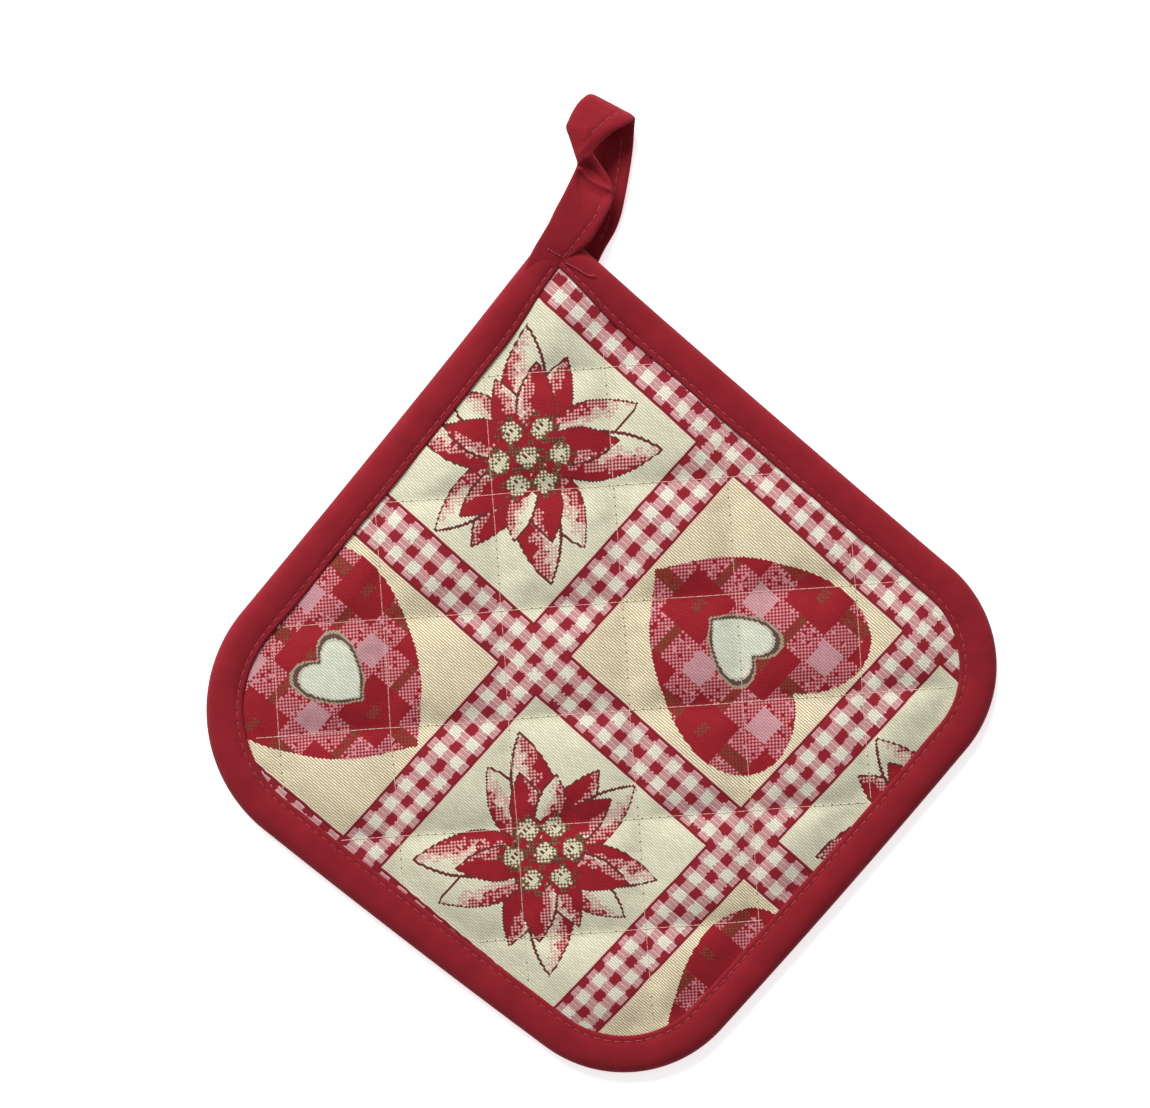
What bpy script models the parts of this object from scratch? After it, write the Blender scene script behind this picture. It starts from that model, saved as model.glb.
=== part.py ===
"""Quilted pot holder, lying on its back, face up: a pad, the binding round its rim and a hanging loop.

The pad is a square with three round corners. Its fourth corner, towards +Y, is pointed, and the loop is
sewn to it. World units are metres with +Z up. The tables below are in millimetres.
"""

import math

import bmesh
import bpy
from mathutils import Matrix, Vector
from mathutils.geometry import delaunay_2d_cdt

MM = 0.001

# ---- outline, clockwise: where the sides would meet if they ran on, and the round of each corner
#           x       y       round
CORNERS = {
    "top": (-14.6, 112.4, 0.0),
    "right": (140.7, -22.1, 40.6),
    "bottom": (12.5, -168.6, 41.3),
    "left": (-144.1, -47.9, 48.1),
}
# How far the middle of each side stands out from straight, starting with the side from top to right.
SIDE_BOWS = (-0.4, 0.6, 0.5, -0.5)
SIDE_STEPS = 12
ARC_STEPS = 14

# ---- binding: a folded strip of a U section
BINDING_WIDTH = 12.0
BINDING_WALL = 1.2
BINDING_HEIGHT = 5.7
FOLD_CHAMFER = 1.1
CLEARANCE = 0.3

# ---- pad
CHANNEL_HEIGHT = 5.2
PUFF_HEIGHT = 2.8
PUFF_FULLNESS = 0.6
EDGE_RISE = 14.0
PAD_EDGE_HEIGHT = 4.7

# ---- quilting: two sets of parallel rows, turned a little from X and Y
QUILT_TURN = math.radians(4.2)
ROWS_DOWN = (-104.0, -69.0, -32.0, 6.0, 41.5, 79.0)
ROWS_ACROSS = (-109.0, -74.5, -40.5, -6.5, 30.0, 67.0)
ROW_PITCH = 36.5
# Places of the mesh lines between two rows, as shares of their distance.
ROW_SHARES = (0.0, 0.07, 0.18, 0.34, 0.5, 0.66, 0.82, 0.93)
# The mesh inside a face keeps this far from the face's edge.
MESH_MARGIN = 1.5
MERGE_WITHIN = 0.0001

# ---- the pointed corner is raised, because the end of the loop is sewn on under it
CORNER_LIFT = 1.9
LIFT_FULL_TO = 21.0
LIFT_ENDS_AT = 46.0
LIFT_MESH = 6.0

# ---- hanging loop: the strap's left and right edge at each section, and how far its middle sags
STRAP_THICK = 1.6
STRAP_ACROSS = 6
STRAP_STEPS = 3
#    left x   left y  left z  right x right y right z  sag
STRAP_SECTIONS = (
    (-22.1, 101.8, 8.7, -12.7, 98.7, 8.7, 0.0),    # sewn base, on the corner
    (-18.3, 108.4, 9.0, -7.4, 103.3, 9.0, 0.0),
    (-15.8, 113.1, 9.6, -2.7, 107.8, 9.5, 0.0),
    (-13.8, 117.5, 10.1, 0.4, 112.8, 9.9, 0.3),
    (-11.9, 121.8, 10.4, 2.9, 118.5, 9.6, 0.8),
    (-10.5, 124.7, 10.4, 2.4, 121.8, 9.4, 1.7),
    (-9.2, 127.3, 10.2, 0.6, 124.8, 9.1, 2.5),
    (-8.2, 129.0, 10.1, -1.0, 129.3, 8.9, 2.3),    # pinched
    (-7.7, 130.3, 10.2, -2.2, 132.3, 9.3, 0.9),
    (-8.0, 132.2, 10.4, -2.2, 133.7, 9.8, -0.6),
    (-9.0, 135.0, 10.5, -1.6, 135.3, 10.1, -1.6),
    (-11.2, 141.7, 10.4, 0.4, 138.1, 10.3, -1.2),  # widest, over the hollow
    (-10.2, 144.8, 10.1, 2.7, 140.4, 10.1, -0.8),
    (-8.1, 149.1, 9.6, 5.3, 142.2, 9.5, -0.4),
    (-6.4, 150.9, 8.9, 7.9, 143.9, 8.9, 0.0),
    (-4.6, 152.3, 7.5, 9.8, 144.7, 7.5, 0.0),
    (-3.8, 152.8, 4.9, 10.4, 144.8, 4.9, 0.0),     # turned over at the top
    (-4.3, 151.7, 2.3, 10.3, 143.4, 2.4, 0.0),
    (-5.4, 149.0, 1.0, 10.1, 140.6, 1.3, 0.0),
    (-4.6, 141.0, 0.9, 9.9, 136.5, 1.7, 0.0),
    (-5.2, 132.8, 0.9, 9.2, 131.9, 2.2, 0.0),
    (-6.8, 125.9, 0.9, 8.2, 127.3, 2.4, 0.0),
    (-7.7, 120.3, 0.9, 7.0, 120.3, 2.1, 0.0),
    (-8.7, 115.9, 0.9, 5.7, 115.3, 1.7, 0.0),
    (-10.5, 111.5, 0.9, 4.0, 110.6, 1.2, 0.0),
    (-13.0, 107.2, 0.9, 1.0, 105.0, 0.9, 0.0),
    (-15.2, 103.4, 0.9, -0.8, 100.9, 0.9, 0.0),
    (-16.8, 100.3, 0.9, -2.4, 96.8, 0.9, 0.0),     # sewn end, under the corner
)

# ---- colours: plain red cotton, and the average of the woven face
RED_COTTON = (0.29, 0.020, 0.033, 1.0)
WOVEN_FACE = (0.54, 0.37, 0.31, 1.0)
CLOTH_ROUGHNESS = 0.9
CREASE_ANGLE = math.radians(40)


def clear_scene():
    for old in list(bpy.data.objects):
        bpy.data.objects.remove(old, do_unlink=True)


def side_points(start, end, bow):
    """Points from start up to, but not including, end, on a shallow arc that stands out by bow."""
    along = end - start
    outward = Vector((-along.y, along.x)).normalized()
    points = []
    for step in range(SIDE_STEPS):
        share = step / SIDE_STEPS
        points.append(start + along * share + outward * bow * 4 * share * (1 - share))
    return points


def corner_ends(before, corner, after, radius):
    """The centre of a corner's arc, and where the arc meets the side before and the side after."""
    back = (before - corner).normalized()
    forth = (after - corner).normalized()
    half_angle = back.angle(forth) / 2
    reach = radius / math.tan(half_angle)
    centre = corner + (back + forth).normalized() * radius / math.sin(half_angle)
    return centre, corner + back * reach, corner + forth * reach


def outline():
    """The rim of the whole pad as points that run clockwise from the pointed corner."""
    tips = [Vector((x, y)) for x, y, _ in CORNERS.values()]
    rounds = [radius for _, _, radius in CORNERS.values()]
    count = len(tips)
    ends = [corner_ends(tips[i - 1], tips[i], tips[(i + 1) % count], rounds[i]) for i in range(count)]
    points = []
    for i, (centre, arc_start, arc_end) in enumerate(ends):
        if rounds[i]:
            spoke = arc_start - centre
            turn = spoke.angle_signed(arc_end - centre)
            for step in range(ARC_STEPS):
                points.append(centre + Matrix.Rotation(-turn * step / ARC_STEPS, 2) @ spoke)
        next_start = ends[(i + 1) % count][1]
        points += side_points(arc_end, next_start, SIDE_BOWS[i])
    return points


def inset(points, distance):
    """The same outline moved inwards, each point along the line that halves its corner."""
    moved = []
    for i, point in enumerate(points):
        before = (point - points[i - 1]).normalized()
        after = (points[(i + 1) % len(points)] - point).normalized()
        inward = Vector((before.y + after.y, -before.x - after.x)).normalized()
        half_turn = math.cos(before.angle(after) / 2)
        moved.append(point + inward * distance / half_turn)
    return moved


def smooth(share):
    share = min(max(share, 0.0), 1.0)
    return share * share * (3 - 2 * share)


def corner_lift(point):
    """How far the pad and its binding are raised near the pointed corner."""
    tip = Vector(CORNERS["top"][:2])
    distance = (point - tip).length
    return CORNER_LIFT * smooth((LIFT_ENDS_AT - distance) / (LIFT_ENDS_AT - LIFT_FULL_TO))


def puff(place, rows):
    """0 on a row of quilting, 1 halfway between two rows."""
    below = max((row for row in rows if row <= place), default=rows[0] - ROW_PITCH)
    above = min((row for row in rows if row > place), default=rows[-1] + ROW_PITCH)
    share = min(max((place - below) / (above - below), 0.0), 1.0)
    return (4 * share * (1 - share)) ** PUFF_FULLNESS


def quilt_place(point):
    """A point's places across the two sets of quilting rows."""
    cosine, sine = math.cos(QUILT_TURN), math.sin(QUILT_TURN)
    return point.x * cosine + point.y * sine, -point.x * sine + point.y * cosine


def from_quilt(across, along):
    cosine, sine = math.cos(QUILT_TURN), math.sin(QUILT_TURN)
    return Vector((across * cosine - along * sine, across * sine + along * cosine))


def depth_inside(point, loop):
    """Distance from a point to a closed outline, negative where the point lies outside it."""
    nearest = math.inf
    inside = False
    for i, end in enumerate(loop):
        start = loop[i - 1]
        along = end - start
        share = min(max((point - start).dot(along) / along.length_squared, 0.0), 1.0)
        nearest = min(nearest, (point - start - along * share).length)
        if (start.y > point.y) != (end.y > point.y):
            if point.x < start.x + (point.y - start.y) / along.y * along.x:
                inside = not inside
    return nearest if inside else -nearest


def face_height(point, face_edge):
    """The quilted face: drawn in at the binding, puffed between the rows of quilting."""
    across, along = quilt_place(point)
    rise = smooth(depth_inside(point, face_edge) / EDGE_RISE)
    filled = CHANNEL_HEIGHT + PUFF_HEIGHT * puff(across, ROWS_DOWN) * puff(along, ROWS_ACROSS)
    return PAD_EDGE_HEIGHT + (filled - PAD_EDGE_HEIGHT) * rise


def quilt_lattice(loop):
    """Mesh points that follow the quilting rows, kept clear of the face's edge."""
    def places(rows):
        firsts = (rows[0] - ROW_PITCH, *rows)
        lasts = (*rows, rows[-1] + ROW_PITCH)
        return [a + (b - a) * share for a, b in zip(firsts, lasts) for share in ROW_SHARES]
    lattice = [from_quilt(a, b) for a in places(ROWS_DOWN) for b in places(ROWS_ACROSS)]
    return [point for point in lattice if depth_inside(point, loop) > MESH_MARGIN]


def corner_lattice(loop):
    """Mesh points of the underside where it bends up to the raised corner."""
    tip = Vector(CORNERS["top"][:2])
    reach = int(LIFT_ENDS_AT / LIFT_MESH) + 1
    steps = range(-reach, reach + 1)
    lattice = [tip + Vector((i, j)) * LIFT_MESH for i in steps for j in steps]
    near = [point for point in lattice if (point - tip).length < LIFT_ENDS_AT + LIFT_MESH]
    return [point for point in near if depth_inside(point, loop) > MESH_MARGIN]


def add_ring(mesh, points, height):
    """A closed row of vertices at one height above the underside."""
    return [mesh.verts.new((p.x * MM, p.y * MM, (height + corner_lift(p)) * MM)) for p in points]


def bridge(mesh, lower, upper):
    """A closed band of faces between two rings that run clockwise, facing outwards."""
    for i in range(len(lower)):
        mesh.faces.new((lower[i], lower[i - 1], upper[i - 1], upper[i]))


def cap(mesh, ring, loop, lattice, height, faces_up):
    """Closes a ring with triangles through the lattice points, at the heights that height() gives."""
    border = list(range(len(loop)))[::-1]
    corners, _, triangles, *_ = delaunay_2d_cdt(loop + lattice, [], [border], 1, MERGE_WITHIN)
    verts = list(ring)
    for point in corners[len(loop):]:
        level = height(point) + corner_lift(point)
        verts.append(mesh.verts.new((point.x * MM, point.y * MM, level * MM)))
    for triangle in triangles:
        order = triangle if faces_up else triangle[::-1]
        mesh.faces.new([verts[index] for index in order])


def add_material(piece, colour):
    material = bpy.data.materials.new(piece.name)
    material.use_nodes = True
    shader = material.node_tree.nodes["Principled BSDF"]
    shader.inputs["Base Color"].default_value = colour
    shader.inputs["Roughness"].default_value = CLOTH_ROUGHNESS
    shader.inputs["Metallic"].default_value = 0.0
    piece.data.materials.append(material)


def add_object(name, mesh, colour):
    bmesh.ops.recalc_face_normals(mesh, faces=mesh.faces)
    data = bpy.data.meshes.new(name)
    mesh.to_mesh(data)
    mesh.free()
    data.shade_smooth()
    data.set_sharp_from_angle(angle=CREASE_ANGLE)
    piece = bpy.data.objects.new(name, data)
    bpy.context.scene.collection.objects.link(piece)
    add_material(piece, colour)


def build_pad(rim):
    """One filled piece: a thin rim inside the binding, a quilted face and a flat underside."""
    rim_edge = inset(rim, BINDING_WALL + CLEARANCE)
    face_edge = inset(rim, BINDING_WIDTH + CLEARANCE)
    rim_low = BINDING_WALL + CLEARANCE
    rim_high = BINDING_HEIGHT - BINDING_WALL - CLEARANCE
    mesh = bmesh.new()
    underside = add_ring(mesh, face_edge, 0.0)
    step = add_ring(mesh, face_edge, rim_low)
    rim_bottom = add_ring(mesh, rim_edge, rim_low)
    rim_top = add_ring(mesh, rim_edge, rim_high)
    under_binding = add_ring(mesh, face_edge, rim_high)
    face = add_ring(mesh, face_edge, PAD_EDGE_HEIGHT)
    rings = (underside, step, rim_bottom, rim_top, under_binding, face)
    for lower, upper in zip(rings, rings[1:]):
        bridge(mesh, lower, upper)
    cap(mesh, face, face_edge, quilt_lattice(face_edge), lambda p: face_height(p, face_edge), True)
    cap(mesh, underside, face_edge, corner_lattice(face_edge), lambda p: 0.0, False)
    add_object("quilted_pad", mesh, WOVEN_FACE)


def build_binding(rim):
    """A strip folded over the rim: one U section carried all the way round."""
    high, low = BINDING_HEIGHT, 0.0
    wall, chamfer, width = BINDING_WALL, FOLD_CHAMFER, BINDING_WIDTH
    #           inset       height
    section = (
        (width, high),
        (chamfer, high),
        (0.0, high - chamfer),
        (0.0, low + chamfer),
        (chamfer, low),
        (width, low),
        (width, low + wall),
        (wall, low + wall),
        (wall, high - wall),
        (width, high - wall),
    )
    mesh = bmesh.new()
    rings = [add_ring(mesh, inset(rim, distance), height) for distance, height in section]
    for upper, lower in zip(rings, rings[1:] + rings[:1]):
        bridge(mesh, lower, upper)
    add_object("edge_binding", mesh, RED_COTTON)


def between(sections, index, share):
    """A section of the strap on the smooth curve through its neighbours."""
    last = len(sections) - 1
    rows = [sections[min(max(index + k, 0), last)] for k in (-1, 0, 1, 2)]
    weights = (
        (-share + 2 * share ** 2 - share ** 3) / 2,
        (2 - 5 * share ** 2 + 3 * share ** 3) / 2,
        (share + 4 * share ** 2 - 3 * share ** 3) / 2,
        (-share ** 2 + share ** 3) / 2,
    )
    return [sum(w * row[column] for w, row in zip(weights, rows)) for column in range(len(rows[0]))]


def strap_sections():
    last = len(STRAP_SECTIONS) - 1
    fine = [between(STRAP_SECTIONS, i, k / STRAP_STEPS) for i in range(last) for k in range(STRAP_STEPS)]
    return fine + [STRAP_SECTIONS[last]]


def strap_grid():
    """The middle of the cloth, section by section, from the left edge to the right edge."""
    grid = []
    for left_x, left_y, left_z, right_x, right_y, right_z, sag in strap_sections():
        left = Vector((left_x, left_y, left_z))
        right = Vector((right_x, right_y, right_z))
        row = []
        for step in range(STRAP_ACROSS + 1):
            share = step / STRAP_ACROSS
            row.append(left.lerp(right, share) - Vector((0, 0, sag * 4 * share * (1 - share))))
        grid.append(row)
    return grid


def grid_normal(grid, i, j):
    along = grid[min(i + 1, len(grid) - 1)][j] - grid[max(i - 1, 0)][j]
    across = grid[i][min(j + 1, STRAP_ACROSS)] - grid[i][max(j - 1, 0)]
    return across.cross(along).normalized()


def build_loop():
    """The strap as a closed strip: the cloth's middle surface given its thickness."""
    grid = strap_grid()
    mesh = bmesh.new()
    rings = []
    for i, row in enumerate(grid):
        over, under = [], []
        for j, place in enumerate(row):
            half = grid_normal(grid, i, j) * STRAP_THICK / 2
            over.append(mesh.verts.new((place + half) * MM))
            under.append(mesh.verts.new((place - half) * MM))
        rings.append(over + under[::-1])
    for first, second in zip(rings, rings[1:]):
        for k in range(len(first)):
            mesh.faces.new((first[k - 1], first[k], second[k], second[k - 1]))
    mesh.faces.new(rings[0])
    mesh.faces.new(rings[-1][::-1])
    add_object("hanging_loop", mesh, RED_COTTON)


def main():
    clear_scene()
    rim = outline()
    build_pad(rim)
    build_binding(rim)
    build_loop()


main()
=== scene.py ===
# %% [markdown]
# # A quilted pot holder
# This is a square of patterned cotton cloth, quilted on a filling. A red cotton strip binds its rim and
# runs on into a hanging loop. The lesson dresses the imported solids: each soft solid is replaced by a
# finer piece of the same size, and then the threads that hold the real thing together are laid on top.

# %% Load the frame
import math
from collections import namedtuple

import bmesh
import bpy
import numpy as np
from mathutils import Matrix, Vector, noise
from mathutils.bvhtree import BVHTree
from mathutils.geometry import delaunay_2d_cdt


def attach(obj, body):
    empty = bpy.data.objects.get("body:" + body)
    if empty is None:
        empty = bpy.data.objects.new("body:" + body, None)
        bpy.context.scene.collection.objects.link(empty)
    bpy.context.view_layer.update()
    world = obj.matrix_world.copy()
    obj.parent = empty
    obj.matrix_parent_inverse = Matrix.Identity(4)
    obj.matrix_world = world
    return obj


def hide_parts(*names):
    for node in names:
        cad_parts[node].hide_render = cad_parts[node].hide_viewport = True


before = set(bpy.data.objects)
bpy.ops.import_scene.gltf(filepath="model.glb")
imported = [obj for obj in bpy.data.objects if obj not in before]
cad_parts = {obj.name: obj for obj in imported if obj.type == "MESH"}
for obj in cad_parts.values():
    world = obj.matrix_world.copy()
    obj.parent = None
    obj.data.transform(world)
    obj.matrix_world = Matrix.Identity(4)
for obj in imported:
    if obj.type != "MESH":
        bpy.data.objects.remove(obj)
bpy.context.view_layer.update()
MM = 0.001

# %% [markdown]
# ## Camera, light and floor
# The pot holder lies on its back and the camera looks straight down on it. A long lens from well above
# keeps the sides of the pad out of sight. Soft goods show their weave best in soft light, so most of it
# comes from all round, and one large panel behind the loop gives the rim and the puffs their shade.

# %% Camera
IMAGE_WIDTH = 1150
MM_PER_PIXEL = 0.3125
VIEW_CENTRE = (-8.3, 9.0)
FACE_LEVEL = 6.0
CAMERA_HEIGHT = 1200.0
SENSOR = 36.0


def deselect_all():
    for each in bpy.context.selected_objects:
        each.select_set(False)


deselect_all()
camera_place = Vector((*VIEW_CENTRE, CAMERA_HEIGHT)) * MM
bpy.ops.object.camera_add(location=camera_place, rotation=(0, 0, 0))
camera = bpy.context.object
camera.data.sensor_width = SENSOR
camera.data.lens = SENSOR * (CAMERA_HEIGHT - FACE_LEVEL) / (IMAGE_WIDTH * MM_PER_PIXEL)
camera.data.clip_end = 10.0
bpy.context.scene.camera = camera
print("lens", round(camera.data.lens, 1), "mm")


# %% Colours are given as sRGB hex values
def colour(hex_value):
    """An sRGB hex value as the linear colour that the shaders work in."""
    parts = [int(hex_value[i:i + 2], 16) / 255 for i in (1, 3, 5)]
    linear = [c / 12.92 if c <= 0.04045 else ((c + 0.055) / 1.055) ** 2.4 for c in parts]
    return (*linear, 1.0)


# %% One function adds nodes
SHADER = "Principled BSDF"
MATH = "ShaderNodeMath"
VECTOR = "ShaderNodeVectorMath"
MIX = "ShaderNodeMix"
NOISE = "ShaderNodeTexNoise"
CHANCE = "ShaderNodeTexWhiteNoise"
RANGE = "ShaderNodeMapRange"
SPLIT = "ShaderNodeSeparateXYZ"
COLOURS = {"data_type": "RGBA", "out": 2}


def nodes_of(owner):
    """Switches on the nodes of a material or world, and gives the function that adds to them."""
    owner.use_nodes = True
    tree = owner.node_tree

    def add(kind, *values, out=0, **settings):
        """Adds a node with its settings. Each value is a number, a colour or another node's output.
        The values go to the sockets in order, or to those that a dict names or numbers. A kind in
        capitals is a Math node's operation, and the name of a node that is there already means that."""
        if kind.isupper():
            kind, settings["operation"] = MATH, kind
        made = tree.nodes.get(kind) or tree.nodes.new(kind)
        for name, setting in settings.items():
            setattr(made, name, setting)
        pairs = values[0].items() if values and isinstance(values[0], dict) else enumerate(values)
        for socket, value in pairs:
            if isinstance(value, bpy.types.NodeSocket):
                tree.links.new(value, made.inputs[socket])
            else:
                made.inputs[socket].default_value = value
        return made.outputs[out]

    return add


# %% Light and floor
FLOOR_SIZE = 8.0
FLOOR_LEVEL = -0.0002
WORLD_STRENGTH = 0.34
PANEL_PLACE = (-1.0, 2.5, 1.9)
PANEL_SIZE = (1.9, 1.4)
PANEL_POWER = 170.0
FLOOR_GLOW = 0.6

world = bpy.data.worlds.new("studio")
bpy.context.scene.world = world
nodes_of(world)("Background", {"Color": colour("#fdfdff"), "Strength": WORLD_STRENGTH})
bpy.context.scene.view_settings.view_transform = "Standard"

bpy.ops.object.light_add(type="AREA", location=PANEL_PLACE)
panel = bpy.context.object
panel.data.shape = "RECTANGLE"
panel.data.size, panel.data.size_y = PANEL_SIZE
panel.data.energy = PANEL_POWER
panel.rotation_euler = (-panel.location).to_track_quat("-Z", "Y").to_euler()

deselect_all()
bpy.ops.mesh.primitive_plane_add(size=FLOOR_SIZE, location=(0, 0, FLOOR_LEVEL))
floor = bpy.context.object
floor.name = "floor"
# Matt white paper, lit from behind a little: no gloss, and as white as the photograph's ground
paper = bpy.data.materials.new("matt_white_paper")
nodes_of(paper)(SHADER, {
    "Base Color": colour("#fcfcfc"), "Roughness": 1.0, "Specular IOR Level": 0.1,
    "Emission Color": colour("#ffffff"), "Emission Strength": FLOOR_GLOW,
})
floor.data.materials.append(paper)
print("floor and lights are in place")

# %% [markdown]
# ## The outline
# The rim is a square of four slightly bowed sides. Three of its corners are round and the fourth, at the
# loop, is pointed. It could be a long list of points, but it is worked out from four corner points and
# their radii, the same ones as the solids have, so the finer pieces fit them exactly. Rings at any
# distance inside the rim come from it too.

# %% Sizes of the outline, in millimetres
#           x       y       round
CORNERS = {
    "top": (-14.6, 112.4, 0.0),
    "right": (140.7, -22.1, 40.6),
    "bottom": (12.5, -168.6, 41.3),
    "left": (-144.1, -47.9, 48.1),
}
SIDE_BOWS = (-0.4, 0.6, 0.5, -0.5)
SIDE_STEPS = 24
NARROW = 0.82
NARROW_FULL_TO = 12.0
NARROW_ENDS_AT = 38.0
CORNER_LIFT = 1.9
LIFT_FULL_TO = 21.0
LIFT_ENDS_AT = 46.0


def corner_ends(before, corner, after, radius):
    """The centre of a corner's arc, and where the arc meets the side before and the side after."""
    back = (before - corner).normalized()
    forth = (after - corner).normalized()
    half_angle = back.angle(forth) / 2
    reach = radius / math.tan(half_angle)
    centre = corner + (back + forth).normalized() * radius / math.sin(half_angle)
    return centre, corner + back * reach, corner + forth * reach


def outline(spacing):
    """The rim as points that run clockwise from the pointed corner."""
    tips = [Vector((x, y)) for x, y, _ in CORNERS.values()]
    rounds = [radius for _, _, radius in CORNERS.values()]
    ends = [corner_ends(tips[i - 1], tips[i], tips[(i + 1) % 4], rounds[i]) for i in range(4)]
    points = []
    for i, (centre, arc_start, arc_end) in enumerate(ends):
        if rounds[i]:
            spoke = arc_start - centre
            turn = spoke.angle_signed(arc_end - centre)
            steps = round(abs(turn) * rounds[i] / spacing)
            points += [centre + Matrix.Rotation(-turn * k / steps, 2) @ spoke for k in range(steps)]
        along = ends[(i + 1) % 4][1] - arc_end
        outward = Vector((-along.y, along.x)).normalized()
        for k in range(SIDE_STEPS):
            share = k / SIDE_STEPS
            points.append(arc_end + along * share + outward * SIDE_BOWS[i] * 4 * share * (1 - share))
    return points


def inset(points, distance):
    """The same outline moved inwards, each point along the line that halves its corner."""
    moved = []
    for i, point in enumerate(points):
        before = (point - points[i - 1]).normalized()
        after = (points[(i + 1) % len(points)] - point).normalized()
        inward = Vector((before.y + after.y, -before.x - after.x)).normalized()
        moved.append(point + inward * distance / math.cos(before.angle(after) / 2))
    return moved


def smooth(share):
    share = np.clip(share, 0.0, 1.0)
    return share * share * (3 - 2 * share)


def ring_maker(spacing):
    """Gives a function that moves the rim inwards and returns evenly spaced points, always as many.
    Near the pointed corner, where the binding is drawn narrower, the rings keep closer to the rim."""
    rim = outline(spacing)
    counts = [max(1, round((b - a).length / spacing)) for a, b in zip(rim, rim[1:] + rim[:1])]
    reach = NARROW_ENDS_AT - NARROW_FULL_TO
    near = [float(smooth((NARROW_ENDS_AT - (point - rim[0]).length) / reach)) for point in rim]

    def ring(distance):
        rows = zip(inset(rim, distance), inset(rim, distance * NARROW), near)
        moved = [wide.lerp(narrow, share) for wide, narrow, share in rows]
        pairs = zip(moved, moved[1:] + moved[:1], counts)
        return np.array([a.lerp(b, k / count) for a, b, count in pairs for k in range(count)])

    return ring


def corner_lift(x, y):
    """How far the pad and its binding are raised near the pointed corner, over the end of the loop."""
    distance = np.hypot(x - CORNERS["top"][0], y - CORNERS["top"][1])
    return CORNER_LIFT * smooth((LIFT_ENDS_AT - distance) / (LIFT_ENDS_AT - LIFT_FULL_TO))


# %% Helpers for meshes in millimetres
def new_piece(name, verts, faces):
    """A mesh object at the origin from vertices in millimetres."""
    mesh = bpy.data.meshes.new(name)
    mesh.from_pydata((np.asarray(verts) * MM).tolist(), [], faces)
    mesh.shade_smooth()
    piece = bpy.data.objects.new(name, mesh)
    bpy.context.scene.collection.objects.link(piece)
    return piece


def coordinates(piece):
    """All vertices of a piece as rows of x, y and z, in millimetres."""
    flat = np.empty(len(piece.data.vertices) * 3)
    piece.data.vertices.foreach_get("co", flat)
    return flat.reshape(-1, 3) / MM


def move_to(piece, places):
    piece.data.vertices.foreach_set("co", (places * MM).ravel())
    piece.data.update()


def ripple(x, y, size, seed=0.0):
    """Smooth unevenness between -1 and 1, with waves about size millimetres long."""
    return np.array([noise.noise(Vector((a / size, b / size, seed))) for a, b in zip(x, y)])


def line_distance(x, y, line):
    """Distance from each point to an open line of points."""
    nearest = np.full(x.shape, np.inf)
    for start, end in zip(line, line[1:]):
        along = np.subtract(end, start)
        east, north = x - start[0], y - start[1]
        share = np.clip((east * along[0] + north * along[1]) / along.dot(along), 0, 1)
        nearest = np.minimum(nearest, np.hypot(east - share * along[0], north - share * along[1]))
    return nearest


def depth_inside(x, y, loop):
    """Distance from each point to a closed outline, negative where the point lies outside it."""
    closed = np.vstack([loop, loop[:1]])
    nearest = line_distance(x, y, closed)
    inside = np.zeros(x.shape, bool)
    for start, end in zip(closed, closed[1:]):
        if start[1] != end[1]:
            along = end - start
            crosses = (start[1] > y) != (end[1] > y)
            inside ^= crosses & (x < start[0] + (y - start[1]) / along[1] * along[0])
    return np.where(inside, nearest, -nearest)


print("rim:", len(outline(1.1)), "points")

# %% [markdown]
# ## The quilted pad
# Face cloth, filling and back are sewn together by straight rows of machine stitching about 36 mm apart.
# Between the rows the filling pushes the face up into low square puffs. They could be drawn by a formula
# alone, but a small cloth simulation gives the uneven pull at the rows' crossings for nothing: the rows
# are pinned, a little air pressure lifts the squares, and a cap keeps them at the solid's height.

# %% Sizes of the pad, in millimetres
QUILT_TURN = math.radians(4.2)
ROWS_DOWN = (-104.0, -69.0, -32.0, 6.0, 41.5, 79.0)
ROWS_ACROSS = (-109.0, -74.5, -40.5, -6.5, 30.0, 67.0)
ROW_PITCH = 36.5
CHANNEL_HEIGHT = 5.2
PUFF_HEIGHT = 2.8
PUFF_FULLNESS = 0.6
FULL_BEFORE_FILLING = 0.65
EDGE_RISE = 14.0
FACE_EDGE = 10.8
FACE_EDGE_HEIGHT = 4.45
BACK_CHANNEL = 0.8
PAD_STEPS = 16
BACK_STEPS = 8
PAD_SPACING = 2.2
LATTICE_MARGIN = 1.32
#    inset      height
PAD_RINGS = (
    (FACE_EDGE, BACK_CHANNEL),
    (FACE_EDGE, 1.6),
    (3.2, 1.7),
    (2.6, 2.85),
    (3.2, 4.0),
    (FACE_EDGE, 4.2),
    (FACE_EDGE, FACE_EDGE_HEIGHT),
)


def quilt_place(x, y):
    """Places across the two sets of quilting rows."""
    cosine, sine = math.cos(QUILT_TURN), math.sin(QUILT_TURN)
    return x * cosine + y * sine, y * cosine - x * sine


def from_quilt(across, along):
    cosine, sine = math.cos(QUILT_TURN), math.sin(QUILT_TURN)
    return across * cosine - along * sine, across * sine + along * cosine


def all_rows(rows):
    """The rows, and one more on each side that lies past the rim."""
    return (rows[0] - ROW_PITCH, *rows, rows[-1] + ROW_PITCH)


def puff(place, rows):
    """0 on a row of quilting, 1 halfway between two rows."""
    edges = np.array(all_rows(rows))
    cell = np.clip(np.searchsorted(edges, place) - 1, 0, len(edges) - 2)
    share = np.clip((place - edges[cell]) / (edges[cell + 1] - edges[cell]), 0, 1)
    return (4 * share * (1 - share)) ** PUFF_FULLNESS


def row_distance(place, rows):
    return np.min([np.abs(place - row) for row in all_rows(rows)], axis=0)


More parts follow.
